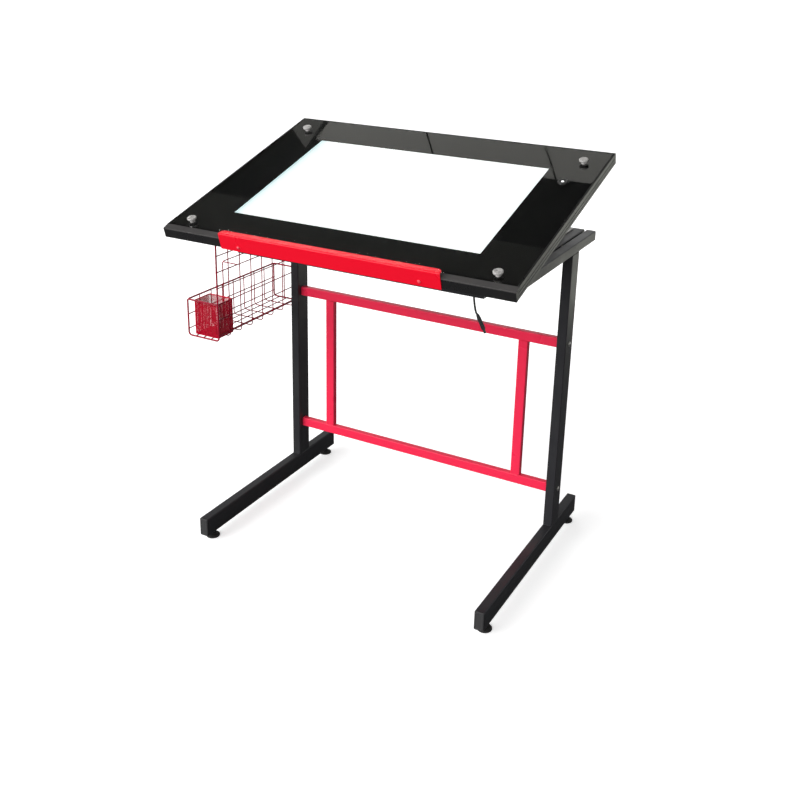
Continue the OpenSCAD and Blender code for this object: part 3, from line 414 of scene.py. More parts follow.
def block(name, low, high, edge=0, steps=3):
    """A squared block between two corners, with every edge eased."""
    low, high = Vector(low), Vector(high)
    clear()
    bpy.ops.mesh.primitive_cube_add(size=1, location=(low + high) / 2, scale=high - low)
    piece = bpy.context.object
    piece.name = name
    settle()
    if edge:
        bpy.ops.object.mode_set(mode="EDIT")
        bpy.ops.mesh.select_all(action="SELECT")
        bpy.ops.mesh.bevel(offset=edge, segments=steps, affect="EDGES")
        bpy.ops.object.mode_set(mode="OBJECT")
    return piece


def pick(test):
    """In edit mode, selects only the faces whose middle and normal pass a test."""
    bpy.ops.mesh.select_mode(type="FACE")
    bpy.ops.mesh.select_all(action="DESELECT")
    shape = bmesh.from_edit_mesh(bpy.context.object.data)
    shape.normal_update()
    for face in shape.faces:
        face.select_set(bool(test(face.calc_center_median(), face.normal)))
    shape.select_flush(True)
    bmesh.update_edit_mesh(bpy.context.object.data)


def join(name, pieces):
    """Makes one piece of several."""
    clear()
    for piece in pieces:
        piece.select_set(True)
    bpy.context.view_layer.objects.active = pieces[0]
    bpy.ops.object.join()
    joined = bpy.context.object
    joined.name = name
    return joined


# Weld beads: short ripples of weld across the front and back of each joint of the legs, where the
# tubes don't lie flush, painted over with the frame.
def weld_bead(start, end, thick):
    """A row of overlapping weld ripples from start to end, small at both ends."""
    start, end = Vector(start), Vector(end)
    halves, start_size, swell, end_swell = 18, 0.6, 1.28, 1.45
    clear()
    bpy.ops.mesh.primitive_circle_add(vertices=8, radius=thick * start_size, fill_type="NGON", location=start,
                                      rotation=(end - start).to_track_quat("Z", "X").to_euler())
    bead = bpy.context.object
    bpy.ops.object.mode_set(mode="EDIT")
    for k in range(1, halves + 1):
        at = start + (end - start) * k / halves
        bpy.ops.mesh.extrude_region_move(TRANSFORM_OT_translate={"value": (end - start) / halves})
        grow = end_swell if k in (1, halves) else swell
        if k % 2 == 0:
            grow = 1 / grow
        bpy.ops.transform.resize(value=(grow, grow, grow), center_override=at)
    bpy.ops.mesh.select_all(action="SELECT")
    bpy.ops.mesh.normals_make_consistent(inside=False)
    bpy.ops.object.mode_set(mode="OBJECT")
    return bead


beads = []
leg_bead, beam_bead, bead_short = 0.0016, 0.0013, 0.003
for upright in ("left_upright", "right_upright"):
    low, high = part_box(upright)
    for z in (low.z, high.z):
        for y in (low.y, high.y):
            beads.append(weld_bead((low.x + bead_short, y, z), (high.x - bead_short, y, z), leg_bead))
for beam in ("front_cross_beam", "rear_cross_beam"):
    low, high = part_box(beam)
    for x in (low.x, high.x):
        for y in (low.y, high.y):
            beads.append(weld_bead((x, y, low.z + 0.004), (x, y, low.z + 0.021), beam_bead))
dress(join("frame_weld_beads", beads), "desk_frame", "frame_black", frame_coat, smooth=60)


# End caps: moulded plastic caps pushed into the open ends of the tubes. Each has a flat face with a
# shallow sunk panel and eased edges, and stands level with the tube's walls.
cap_grey = finish("cap_grey", (0.03, 0.03, 0.032), (0.045, 0.044, 0.044), 220, (0.42, 0.55), 1400, 0.00003)
cap_black = finish("cap_black", (0.012, 0.012, 0.013), (0.02, 0.02, 0.02), 220, (0.4, 0.52), 1400, 0.00003)
cap_thick, cap_edge = 0.004, 0.0022


def end_cap(low, high, outward):
    """A cap whose face looks along outward, -1 for the front and 1 for the back."""
    cap = block("cap", low, high, cap_edge, 4)
    bpy.ops.object.mode_set(mode="EDIT")
    pick(lambda at, way: way.y * outward > 0.99)
    bpy.ops.mesh.inset(thickness=cap_edge, depth=0)
    bpy.ops.mesh.inset(thickness=0.0006, depth=-0.0005)
    bpy.ops.object.mode_set(mode="OBJECT")
    return cap


def caps_for(name, *tubes):
    """One piece of the caps of both ends of some tubes."""
    made = []
    for tube in tubes:
        low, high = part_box(tube)
        made.append(end_cap((low.x, low.y - cap_thick, low.z), (high.x, low.y, high.z), -1))
        made.append(end_cap((low.x, high.y, low.z), (high.x, high.y + cap_thick, high.z), 1))
    return join(name, made)


dress(caps_for("foot_caps", "left_foot", "right_foot"),
      "desk_frame", "grey_plastic", cap_grey, "foot_end_caps")
dress(caps_for("rail_caps", "left_top_rail", "right_top_rail", "left_side_tube", "right_side_tube"),
      "desk_frame", "black_plastic", cap_black, "rail_end_caps")


# Levelling feet: a black plastic pad with a soft edge, a hexagon collar for the spanner, and a
# zinc-plated threaded stud that screws up into the foot.
foot_rubber = finish("foot_rubber", (0.012, 0.012, 0.012), (0.022, 0.021, 0.02), 160, (0.55, 0.7), 900,
                     0.00006)
zinc = finish("zinc", (0.42, 0.42, 0.4), (0.55, 0.54, 0.5), 180, (0.25, 0.42), 1800, 0.00001, metal=1)


def copy_to(piece, name, place):
    """A copy of a piece with its own mesh, moved by a matrix."""
    again = piece.copy()
    again.data = piece.data.copy()
    again.name = name
    bpy.context.scene.collection.objects.link(again)
    return lay_out(again, place)


pad = turned("pad", [
    (0.0145, 0), (0.0155, 0.0004), (0.0160, 0.0012), (0.0160, 0.0030), (0.0156, 0.0038), (0.0146, 0.0045),
    (0.0122, 0.0055), (0.0108, 0.0060), (0.0045, 0.0060),
])
hexagon = turned("hexagon", [
    (0.0060, 0.0060), (0.0070, 0.0064), (0.0070, 0.0096), (0.0060, 0.0100), (0.0042, 0.0100),
], 6)
pad = join("pad_and_hexagon", [pad, hexagon])
thread_pitch, thread_turns = 0.00125, 14
thread_line = [(0.0038, 0.0096)]
for turn in range(thread_turns):
    z = 0.0099 + thread_pitch * turn
    thread_line += [(0.00355, z), (0.0040, z + 0.00055), (0.0040, z + 0.0007)]
thread_line += [(0.00355, 0.0275), (0.0030, 0.0280)]
stud = turned("stud", thread_line, 24)
for corner in ("front_left", "front_right", "rear_left", "rear_right"):
    low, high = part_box(corner + "_leveller")
    middle = (low + high) / 2
    below_foot = Matrix.Translation((middle.x, middle.y, 0))
    dress(copy_to(pad, corner + "_pad", below_foot), corner + "_foot_screw", "black_plastic", foot_rubber,
          corner + "_leveller")
    dress(copy_to(stud, corner + "_stud", below_foot), corner + "_foot_screw", "zinc_steel", zinc)
for pattern in (pad, stud):
    bpy.data.objects.remove(pattern)


# Stretcher frame: two red bars bolted between the uprights, with two stiles welded between them.
# Thin flat-sided tube in a smooth glossy red enamel that pools a little darker in places.
# The enamel is given a paler, pinker red than the paper stop's: a painted sheen laid over the frame's own
# red.
red_enamel_and_painted_sheen = finish("red_enamel_and_painted_sheen", (0.88, 0.026, 0.08), (0.78, 0.02, 0.068), 9, (0.26, 0.38), 420, 0.00004,
                    coat=0.15, specular=0.35)
coat_nodes(red_enamel_and_painted_sheen, "upper_stretcher", "lower_stretcher", "stretcher_stiles")
beads = []
low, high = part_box("stretcher_stiles")
stile_wide, stile_bead = 0.023, 0.0011
for x in (low.x, low.x + stile_wide, high.x - stile_wide, high.x):
    for z in (low.z, high.z):
        beads.append(weld_bead((x, low.y + bead_short, z), (x, high.y - bead_short, z), stile_bead))
dress(join("stretcher_weld_beads", beads), "desk_frame", "red_paint", red_enamel_and_painted_sheen, smooth=60)


# Bolts: button-head screws, zinc plated, with a hexagon socket. Four hold the stretcher bars from
# outside the uprights, and four hold the side tubes to the rails from inside.
def button_bolt(length):
    """A bolt of the given length under its head, which is seated at the origin and faces +Z."""
    dome = turned("dome", [
        (0.0023, -length), (0.003, 0.0007 - length), (0.003, -0.0002), (0.0058, 0), (0.0060, 0.0003),
        (0.0060, 0.0008), (0.0057, 0.0014), (0.0050, 0.0022), (0.0040, 0.0028), (0.0030, 0.0033),
        (0.0026, 0.0034),
    ], 36)
    socket = turned("socket", [(0.0027, 0.00345), (0.0023, 0.00345), (0.0023, 0.0014), (0.0004, 0.0011)], 6)
    only(dome)
    bpy.ops.object.mode_set(mode="EDIT")
    pick(lambda at, way: way.z > 0.99 and at.z > 0.0033)
    bpy.ops.mesh.delete(type="FACE")
    only(socket)
    bpy.ops.object.mode_set(mode="EDIT")
    pick(lambda at, way: way.z < -0.99)
    bpy.ops.mesh.delete(type="FACE")
    bpy.ops.mesh.select_all(action="SELECT")
    bpy.ops.mesh.flip_normals()
    bpy.ops.object.mode_set(mode="OBJECT")
    return join("bolt", [dome, socket])


def bolts_at(name, length, seats):
    """One piece of bolts, each with its seat, and 1 or -1 for a head that faces right or left."""
    pattern = button_bolt(length)
    made = []
    for seat, facing in seats:
        place = Matrix.Translation(seat) @ Matrix.Rotation(facing * pi / 2, 4, "Y")
        made.append(copy_to(pattern, "bolt_copy", place))
    bpy.data.objects.remove(pattern)
    return join(name, made)


stretcher_bolt_long = 0.036
leg_right, leg_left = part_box("right_upright")[1].x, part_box("left_upright")[0].x
seats = []
for bar in ("lower_stretcher", "upper_stretcher"):
    low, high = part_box(bar)
    middle = (low + high) / 2
    seats += [((leg_right, middle.y, middle.z), 1), ((leg_left, middle.y, middle.z), -1)]
dress(bolts_at("stretcher_bolt_screws", stretcher_bolt_long, seats), "desk_frame", "zinc_steel", zinc,
      "stretcher_bolts")

low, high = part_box("frame_spacers")
spacer_round, rail_mid = (high.z - low.z) / 2, (low.z + high.z) / 2
tube_right, tube_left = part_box("right_side_tube")[0].x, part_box("left_side_tube")[1].x
bolt_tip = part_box("frame_bolts")[1].x
seats = []
for y in (low.y + spacer_round, high.y - spacer_round):
    seats += [((tube_right, y, rail_mid), -1), ((tube_left, y, rail_mid), 1)]
dress(bolts_at("frame_bolt_screws", bolt_tip - tube_right, seats), "desk_frame", "zinc_steel", zinc,
      "frame_bolts")
coat_nodes(zinc, "threaded_inserts", "frame_spacers")


# Hinges: two pairs of lugs welded on a plate on the front beam, with the plate and lug of the
# board between them, on a riveted pin. Black painted plate with bright turned pins.
def eased(piece, width, steps=2, angle=40):
    """Rounds the edges where a piece's faces meet at more than an angle."""
    only(piece)
    ease = piece.modifiers.new("ease", "BEVEL")
    ease.width = width
    ease.segments = steps
    ease.limit_method = "ANGLE"
    ease.angle_limit = radians(angle)
    bpy.ops.object.modifier_apply(modifier="ease")


def softened(source, name, ease, steps=2):
    """A copy of a CAD piece with its sharp edges eased, as ground or pressed metal has."""
    piece = bpy.data.objects.new(name, node[source].data.copy())
    bpy.context.scene.collection.objects.link(piece)
    only(piece)
    bpy.ops.object.mode_set(mode="EDIT")
    bpy.ops.mesh.select_all(action="SELECT")
    bpy.ops.mesh.remove_doubles(threshold=0.000005)
    bpy.ops.mesh.dissolve_limited(angle_limit=radians(1))
    bpy.ops.object.mode_set(mode="OBJECT")
    eased(piece, ease, steps, angle=35)
    return piece


for source, name, ease, body, slot, material in (
    ("hinge_brackets", "hinge_lugs", 0.0005, "desk_frame", "frame_black", frame_coat),
    ("hinge_pins", "hinge_pins_turned", 0.0004, "desk_frame", "zinc_steel", zinc),
    ("board_hinge_plates", "board_hinge_lugs", 0.0005, "board", "frame_black", frame_coat),
    ("stay_brackets", "stay_bracket_angles", 0.0005, "board", "frame_black", frame_coat),
    ("stay_pivot_pins", "stay_pivot_rivets", 0.0004, "board", "zinc_steel", zinc),
):
    dress(softened(source, name, ease), body, slot, material, source)


# Tilt stays: a flat zinc-plated arm on each side, from a bracket under the board to a slotted angle
# on the side tube, where a black star knob clamps it.
drawn_zinc = finish("drawn_zinc", (0.4, 0.4, 0.39), (0.52, 0.51, 0.48), 90, (0.28, 0.45), 700, 0.000015,
                    metal=1)
knob_black = finish("knob_black", (0.012, 0.012, 0.013), (0.018, 0.018, 0.018), 240, (0.36, 0.48), 1600,
                    0.00002)
for side in ("left", "right"):
    track, arm, knob = side + "_stay_track", side + "_stay_arm", side + "_clamp_knob"
    dress(softened(track, side + "_track_angle", 0.0004), "desk_frame", "zinc_steel", drawn_zinc, track)
    dress(softened(arm, side + "_arm_bar", 0.0004), side + "_stay", "zinc_steel", drawn_zinc, arm)
    dress(softened(knob, side + "_star_knob", 0.0012, 3), side + "_knob", "black_plastic", knob_black, knob)


# Tray: a folded and painted steel pan that carries all of the board. Its side walls rise to the
# glass, its front edge is lower for the trim, and two shallow beads are pressed along each side.
tray_paint = finish("tray_paint", (0.006, 0.006, 0.0065), (0.0095, 0.0092, 0.009), 11, (0.24, 0.36), 600,
                    0.00003, specular=0.6)
board_half, board_long, trim_wide, glass_thick = 400, 556, 16, 5
wall, tray_floor, bead_wide, bead_deep, lead_bore = 4, 1.5, 1.6, 0.7, 9
past = 1  # how far a cutting shape stands past what it cuts
screw_places = [(x, s) for x in (-350, 350) for s in (38, 494)]
dimmer_place = (337, 402)


def board_plate(name, x, s, h):
    """A block in the board's own measures, in millimetres across, up the slope and above it."""
    low, high = Vector((x[0], s[0], h[0])) / 1000, Vector((x[1], s[1], h[1])) / 1000
    return block(name, low, high)


def cut(piece, tool):
    """Takes one closed shape away from another."""
    only(piece)
    take = piece.modifiers.new("take", "BOOLEAN")
    take.operation = "DIFFERENCE"
    take.solver = "EXACT"
    take.object = tool
    bpy.ops.object.modifier_apply(modifier="take")
    bpy.data.objects.remove(tool)


def drill(piece, x, s, low, high, wide, sides=48):
    """Cuts a round hole of a width through a piece of the board, between two heights."""
    clear()
    bpy.ops.mesh.primitive_cylinder_add(vertices=sides, radius=wide / 2000, depth=(high - low) / 1000,
                                        location=(x / 1000, s / 1000, (low + high) / 2000))
    settle()
    cut(piece, bpy.context.object)


tray = board_plate("tray_pan", (-board_half, board_half), (0, board_long), (-tray_deep, 0))
outer, inner = board_half + past, board_half - wall
cut(tray, board_plate("step", (-outer, outer), (-past, trim_wide), (-glass_thick, past)))
cut(tray, board_plate("pocket", (-inner, inner), (wall, board_long - wall), (tray_floor - tray_deep, past)))
for side_x in ((-outer, bead_deep - board_half), (board_half - bead_deep, outer)):
    for h in (-10.6, -18.2):
        cut(tray, board_plate("bead", side_x, (10, board_long - 10), (h, h + bead_wide)))
drill(tray, *gland_place, -tray_deep - past, -21, lead_bore)
eased(tray, 0.0005)
lay_out(tray, on_board)
dress(tray, "board", "tray_black", tray_paint, "tray_shell")


# Front trim: a grey aluminium wedge in front of the glass, with its long face sloped for the wrist
# and its front edge eased. The metal is lightly brushed along its length.
trim_metal = finish("trim_metal", (0.075, 0.072, 0.072), (0.095, 0.09, 0.088), 26, (0.34, 0.46), 900, 0.00001,
                    metal=0.4)
front_height = 0.6
trim = board_plate("trim_wedge", (-board_half, board_half), (0, trim_wide), (-glass_thick, 0))
only(trim)
bpy.ops.object.mode_set(mode="EDIT")
pick(lambda at, way: way.y < -0.99)
bpy.ops.transform.resize(value=(1, 1, front_height), center_override=(0, 0, -glass_thick / 1000))
bpy.ops.object.mode_set(mode="OBJECT")
eased(trim, 0.0007, 3)
lay_out(trim, on_board)
dress(trim, "board", "trim_grey", trim_metal, "front_trim")


# Glass: one sheet of clear toughened glass, 5 mm thick, with ground arrises, four screw holes and
# one hole for the dimmer. It lies on the tray's panel frame with a black border printed below it.
clear_glass, nt, shader = new_material("clear_glass")
fill(shader, {"Base Color": (0.94, 0.98, 0.96, 1), "Transmission Weight": 1, "IOR": 1.5})
smear = add(nt, "TexNoise", {"Scale": 7, "Detail": 4})
nt.links.new(add(nt, "TexCoord").outputs["Object"], smear.inputs["Vector"])
nt.links.new(ramp(nt, smear.outputs["Fac"], (0.45, 0.75), (0.015, 0.05)), shader.inputs["Roughness"])
glass_x, glass_s = (-inner, inner), (trim_wide, board_long - wall)
screw_bore, dimmer_bore = 9, 16.6


def pierce(sheet, low):
    """Drills the holes of the screws and the dimmer through a sheet, from below it."""
    for x, s in screw_places:
        drill(sheet, x, s, low, past, screw_bore, 32)
    drill(sheet, *dimmer_place, low, past, dimmer_bore)


glass = board_plate("glass_sheet", glass_x, glass_s, (-glass_thick, 0))
pierce(glass, -glass_thick - past)
eased(glass, 0.0006)
lay_out(glass, on_board)
dress(glass, "board", "glass", clear_glass, "glass_top", smooth=0)


# Screened border: black ink fired on the back of the glass round the lit window, and let into it a
# little, because faces that only touch make streaks. Below the window lie a white diffuser, the
# clear light guide with a lamp strip on each short side, and a reflector.
border_ink = finish("border_ink", (0.0035, 0.0035, 0.004), (0.0045, 0.0045, 0.0045), 30, (0.35, 0.5), 900,
                    0.00001, specular=0.3)
film_thick, let_in, below_film = 0.3, 0.02, -7
window_x, window_s = (-286, 286), (100, 456)
border = board_plate("border_film", glass_x, glass_s, (-glass_thick - film_thick, let_in - glass_thick))
cut(border, board_plate("window_gap", window_x, window_s, (below_film, past)))
pierce(border, below_film)
lay_out(border, on_board)
dress(border, "board", "mask_black", border_ink, "border_mask", smooth=0)

# The diffuser glows white, and turns bluish towards the lamp strip of its left side.
opal = finish("opal", (0.86, 0.86, 0.86), (0.9, 0.9, 0.9), 20, (0.5, 0.6), 1500, 0.00001)
nt, shader = opal.node_tree, shader_of(opal)
fill(shader, {"Emission Strength": 1.1})
axes = add(nt, "SeparateXYZ")
nt.links.new(nt.nodes["where"].outputs["Object"], axes.inputs["Vector"])
side_band = ramp(nt, axes.outputs["X"], (-0.2555, -0.236), (0.85, 0))
nt.links.new(mixed(nt, side_band, (1, 1, 1), (0.62, 0.86, 0.9)), shader.inputs["Emission Color"])
coat_nodes(opal, "diffuser")
guide_acrylic = finish("guide_acrylic", (0.86, 0.9, 0.9), (0.9, 0.94, 0.93), 12, (0.06, 0.12), 400, 0.00001)
fill(shader_of(guide_acrylic), {"Transmission Weight": 0.9})
coat_nodes(guide_acrylic, "light_guide")
reflector_film = finish("reflector_film", (0.84, 0.84, 0.83), (0.9, 0.9, 0.89), 15, (0.4, 0.5), 700, 0.00001)
coat_nodes(reflector_film, "reflector")
lamp_tape = finish("lamp_tape", (0.8, 0.79, 0.72), (0.9, 0.88, 0.8), 220, (0.4, 0.5), 900, 0.00002)
fill(shader_of(lamp_tape), {"Emission Color": (1, 0.97, 0.92, 1), "Emission Strength": 1.5})
coat_nodes(lamp_tape, "led_strips")
fibreboard = finish("fibreboard", (0.2, 0.13, 0.075), (0.27, 0.185, 0.11), 420, (0.7, 0.85), 2600, 0.0001)
coat_nodes(fibreboard, "panel_frame")
circuit_lacquer = finish("circuit_lacquer", (0.012, 0.09, 0.035), (0.02, 0.13, 0.05), 260, (0.25, 0.4), 1200,
                         0.00003)
coat_nodes(circuit_lacquer, "driver_board")


# Glass screws: chrome-plated caps with a domed face, one in each corner, screwed through sleeves
# in the glass to the panel frame.
chrome = finish("chrome", (0.6, 0.585, 0.57), (0.7, 0.685, 0.665), 60, (0.22, 0.34), 900, 0.00002, metal=0.55)
glass_cap = turned("glass_cap", [
    (0.0054, 0), (0.0055, 0.0002), (0.0055, 0.0008), (0.0048, 0.0014), (0.0045, 0.0019),
    (0.0045, 0.0032), (0.0048, 0.0036), (0.0078, 0.0053), (0.0092, 0.0058), (0.0099, 0.0063),
    (0.0100, 0.0068), (0.0100, 0.0088), (0.0099, 0.0095), (0.0095, 0.0101), (0.0089, 0.0105),
    (0.0080, 0.0108), (0.0070, 0.0109), (0.0062, 0.0109), (0.0058, 0.0106), (0.0030, 0.01065),
    (0.0003, 0.0107),
], 64)
shank = turned("shank", [(0.0026, -0.0215), (0.0030, -0.0211), (0.0030, 0.0010), (0.0020, 0.0010)], 32)
cap_and_shank = join("cap_and_shank", [glass_cap, shank])
caps = [copy_to(cap_and_shank, "cap", board_point(x, s)) for x, s in screw_places]
bpy.data.objects.remove(cap_and_shank)
dress(join("glass_screw_caps", caps), "board", "chrome", chrome, "glass_screws", smooth=40)
sleeve_nylon = finish("sleeve_nylon", (0.5, 0.5, 0.48), (0.58, 0.58, 0.55), 200, (0.4, 0.5), 900, 0.00001)
coat_nodes(sleeve_nylon, "screw_sleeves")


# Dimmer: a black moulded ring round a soft-touch button, with a small white light in the middle of
# the button. A long press fades the board's light up and down.
dimmer_black = finish("dimmer_black", (0.03, 0.03, 0.03), (0.04, 0.04, 0.039), 400, (0.16, 0.26), 2200,
                      0.00001, coat=0.5)
ring = turned("dimmer_ring", [
    (0.0065, -0.0140), (0.0080, -0.0140), (0.0080, 0), (0.0109, 0), (0.0110, 0.0003), (0.0110, 0.0024),
    (0.0108, 0.0030), (0.0103, 0.0034), (0.0098, 0.0035), (0.0076, 0.0035), (0.0070, 0.0033),
    (0.0066, 0.0028), (0.0065, 0.0020), (0.0065, -0.0140),
], 64, closed=False)
button = turned("dimmer_cap", [
    (0.0060, -0.0100), (0.0062, -0.0098), (0.0062, 0.0020), (0.0061, 0.0025), (0.0057, 0.0029),
    (0.0050, 0.00295), (0.0034, 0.0026), (0.0031, 0.0024), (0.0003, 0.0024),
], 48)
window_dot = turned("dimmer_light", [
    (0.0029, 0.0016), (0.0029, 0.0027), (0.0026, 0.0030), (0.0018, 0.0032), (0.0002, 0.0033),
], 32)
for piece in (ring, button, window_dot):
    lay_out(piece, board_point(*dimmer_place))
dress(ring, "board", "black_plastic", dimmer_black, "dimmer_bezel")
dress(button, "dimmer_cap", "black_plastic", dimmer_black, "dimmer_button")
light_white = finish("light_white", (0.8, 0.8, 0.8), (0.86, 0.86, 0.86), 300, (0.35, 0.45), 1500, 0.00001)
fill(shader_of(light_white), {"Emission Color": white, "Emission Strength": 0.9})
dress(window_dot, "dimmer_cap", "diffuser_white", light_white)


# Paper stop: a strip of sheet steel folded over into a lip along the board's front edge, painted
# glossy red, and held to the tray's front wall by two painted screws.
stop_red = finish("stop_red", (0.85, 0.003, 0.022), (0.79, 0.0025, 0.019), 7, (0.2, 0.3), 420, 0.00003,
                  coat=0.1, specular=0.3)
half, thick, fold_round, lip, lip_round = 0.252, 0.002, 0.001, 0.012, 0.010
drop, rise = 0.026, 0.007


def pick_edges(test):
    """In edit mode, selects only the edges that pass a test, which also gets their two ends."""
    bpy.ops.mesh.select_mode(type="EDGE")
    bpy.ops.mesh.select_all(action="DESELECT")
    shape = bmesh.from_edit_mesh(bpy.context.object.data)
    for edge in shape.edges:
        if test(edge, edge.verts[0].co, edge.verts[1].co):
            edge.select_set(True)
    bmesh.update_edit_mesh(bpy.context.object.data)


def lip_corner(edge, a, b):
    """Whether an edge is one of the two upright corners at the free ends of the lip."""
    at_lip = min(a.y, b.y) > fold_round + lip - 0.0005
    return at_lip and min(abs(a.x), abs(b.x)) > half - 0.0001 and abs(a.z - b.z) > 0.001


stop = block("stop_strip", (-half, -thick, -drop), (half, 0, rise))
bpy.ops.object.mode_set(mode="EDIT")
pick(lambda at, way: way.z > 0.99)
bpy.ops.mesh.spin(steps=10, dupli=False, angle=pi / 2, center=(0, fold_round, rise), axis=(1, 0, 0))
pick(lambda at, way: at.y > fold_round - 0.0001 and way.y > 0.99)
bpy.ops.mesh.extrude_region_move(TRANSFORM_OT_translate={"value": (0, lip, 0)})
bpy.ops.mesh.select_all(action="SELECT")
bpy.ops.mesh.remove_doubles(threshold=0.00001)
bpy.ops.mesh.normals_make_consistent(inside=False)
pick_edges(lip_corner)
bpy.ops.mesh.bevel(offset=lip_round, segments=8, affect="EDGES")
bpy.ops.object.mode_set(mode="OBJECT")
eased(stop, 0.0004)
lay_out(stop, on_board)
dress(stop, "board", "red_paint", stop_red, "paper_stop")
stop_screw = turned("stop_screw", [
    (0.0022, -0.0050), (0.0022, 0), (0.0034, 0.0001), (0.0035, 0.0004), (0.0034, 0.0009), (0.0030, 0.0015),
    (0.0022, 0.0020), (0.0012, 0.00218), (0.0002, 0.0022),
], 32)
stop_screw_x, to_front = 206.64, Matrix.Rotation(pi / 2, 4, "X")
stop_screws = [copy_to(stop_screw, "stop_screw_copy", board_point(x, -2, -16) @ to_front)
               for x in (-stop_screw_x, stop_screw_x)]
bpy.data.objects.remove(stop_screw)
# The heads are painted red like the strip, but their red is made paler and pinker as a painted highlight on
# the domes.
screw_red_and_painted_highlight = finish("screw_red_and_painted_highlight", (0.95, 0.1, 0.13), (0.85, 0.07, 0.1), 300, (0.12, 0.2), 900, 0.00001,
                   coat=0.3)
dress(join("stop_screw_heads", stop_screws), "board", "red_paint", screw_red_and_painted_highlight, "paper_stop_screws")


# Wire basket: bent steel wire, spot-welded where it crosses and dip-coated in glossy red. Nine
# hoops make its back panel, floor and outer wall, and long wires tie them together.
desk = Matrix.Translation((0.0273, 0.122716, 0))


def wire(name, corners, thick, bend=0.0, sides=10, closed=False):
    """Bent wire through its corners, in millimetres of the desk, with each corner rounded to bend."""
    points = [Vector(p) / 1000 for p in corners]
    first = (points[1] - points[0]).normalized()
    clear()
    bpy.ops.mesh.primitive_circle_add(vertices=sides, radius=thick / 2000, fill_type="NGON",
                                      location=points[0], rotation=first.to_track_quat("Z", "Y").to_euler())
    piece = bpy.context.object
    piece.name = name
    bpy.ops.object.mode_set(mode="EDIT")
    at = points[0]
    for corner, following in zip(points[1:], points[2:]):
        way, onward = (corner - at).normalized(), (following - corner).normalized()
        turn = way.angle(onward)
        room = bend / 1000 * tan(turn / 2)
        start = corner - way * room
        bpy.ops.mesh.extrude_region_move(TRANSFORM_OT_translate={"value": start - at})
        inward = (onward - way * onward.dot(way)).normalized()
        bpy.ops.mesh.spin(steps=max(3, round(turn / radians(16))), dupli=False, angle=turn,
                          center=start + inward * bend / 1000, axis=onward.cross(way))
        at = corner + onward * room
    bpy.ops.mesh.extrude_region_move(TRANSFORM_OT_translate={"value": points[-1] - at})
    if closed:
        pick(lambda at, way: (at - points[0]).length < 0.00002)
        bpy.ops.mesh.delete(type="FACE")
    bpy.ops.mesh.select_all(action="SELECT")
    bpy.ops.mesh.remove_doubles(threshold=0.00001)
    bpy.ops.mesh.normals_make_consistent(inside=False)
    bpy.ops.object.mode_set(mode="OBJECT")
    settle()
    return piece


# The wires are dip-coated red like the cup, but their red is made much darker: painted shade for the board's
# shadow over the basket.
wire_red = finish("wire_red", (0.36, 0.004, 0.026), (0.3, 0.003, 0.022), 16, (0.22, 0.34), 900, 0.00003,
                  coat=0.2, specular=0.35)


def hang(piece, *stands_for):
    """Sets wirework in its place on the desk, as a part of the basket."""
    lay_out(piece, desk)
    dress(piece, "basket", "wire_red", wire_red, *stands_for, smooth=45)


panel_x, outer_x, floor_z, top_z, rim_z = -366.1, -452.6, 466, 732, 553
front_y, rear_y, hoop_pitch, hoops = -282, 54, 42, 8
thin, medium, stout, crossing = 2.5, 3, 4, 2.1
wires = []
for k in range(hoops + 1):
    y = front_y + k * hoop_pitch
    hoop = [(panel_x, y, top_z + 2), (panel_x, y, floor_z), (outer_x, y, floor_z), (outer_x, y, rim_z - 1)]
    wires.append(wire("hoop", hoop, stout if k in (0, hoops) else thin, 8))
for z in (477, 515, 553, 591, 629, 667, 705, top_z):
    x = panel_x - crossing
    wires.append(wire("panel_wire", [(x, front_y, z), (x, rear_y, z)], medium if z in (477, top_z) else thin))
for x in (-387.7, -409.35, -430.97):
    z = floor_z + crossing
    wires.append(wire("floor_wire", [(x, front_y, z), (x, rear_y, z)], thin))
for z in (482.53, 517.33):
    x = outer_x + crossing
    wires.append(wire("wall_wire", [(x, front_y, z), (x, rear_y, z)], thin))
hang(join("basket_wires", wires), "basket_back", "basket_floor", "basket_outer_wall")

# Rim: one thick wire round the open side of the basket, welded on top of the outer hoops and to the
# panel at both ends.
rim_end = -369.5
rim_way = [(rim_end, front_y, rim_z), (outer_x, front_y, rim_z), (outer_x, rear_y, rim_z),
           (rim_end, rear_y, rim_z)]
hang(wire("basket_rim_wire", rim_way, stout, 6, 12), "basket_rim")

# Hooks: three wires carry on up from the panel, over the top rail, and down beside it. The basket
# hangs by them and lifts straight off.
hook_x, hook_z, hook_root, hook_tip = -338.35, 739.8, 726, 722.8
hooks = []
for y in (-240, -114, 12):
    hook = [(panel_x, y, hook_root), (panel_x, y, hook_z), (hook_x, y, hook_z), (hook_x, y, hook_tip)]
    hooks.append(wire("hook", hook, medium, 5))
hang(join("basket_hook_wires", hooks), "basket_hooks")

# Divider: two hoops from the panel down to the floor, with a wire along their top, which part the
# pen cup from the long bay.
divider_y, divider_x, divider_z, divider_root, divider_foot = (-206, 38), -409.1, 630, -368.5, 468.6
divider = []
for y in divider_y:
    leg = [(divider_root, y, divider_z), (divider_x, y, divider_z), (divider_x, y, divider_foot)]
    divider.append(wire("divider", leg, thin, 3))
divider.append(wire("divider_bar", [(divider_x + 3, y, divider_z + crossing) for y in divider_y], thin))
hang(join("basket_divider_wires", divider), "basket_divider")


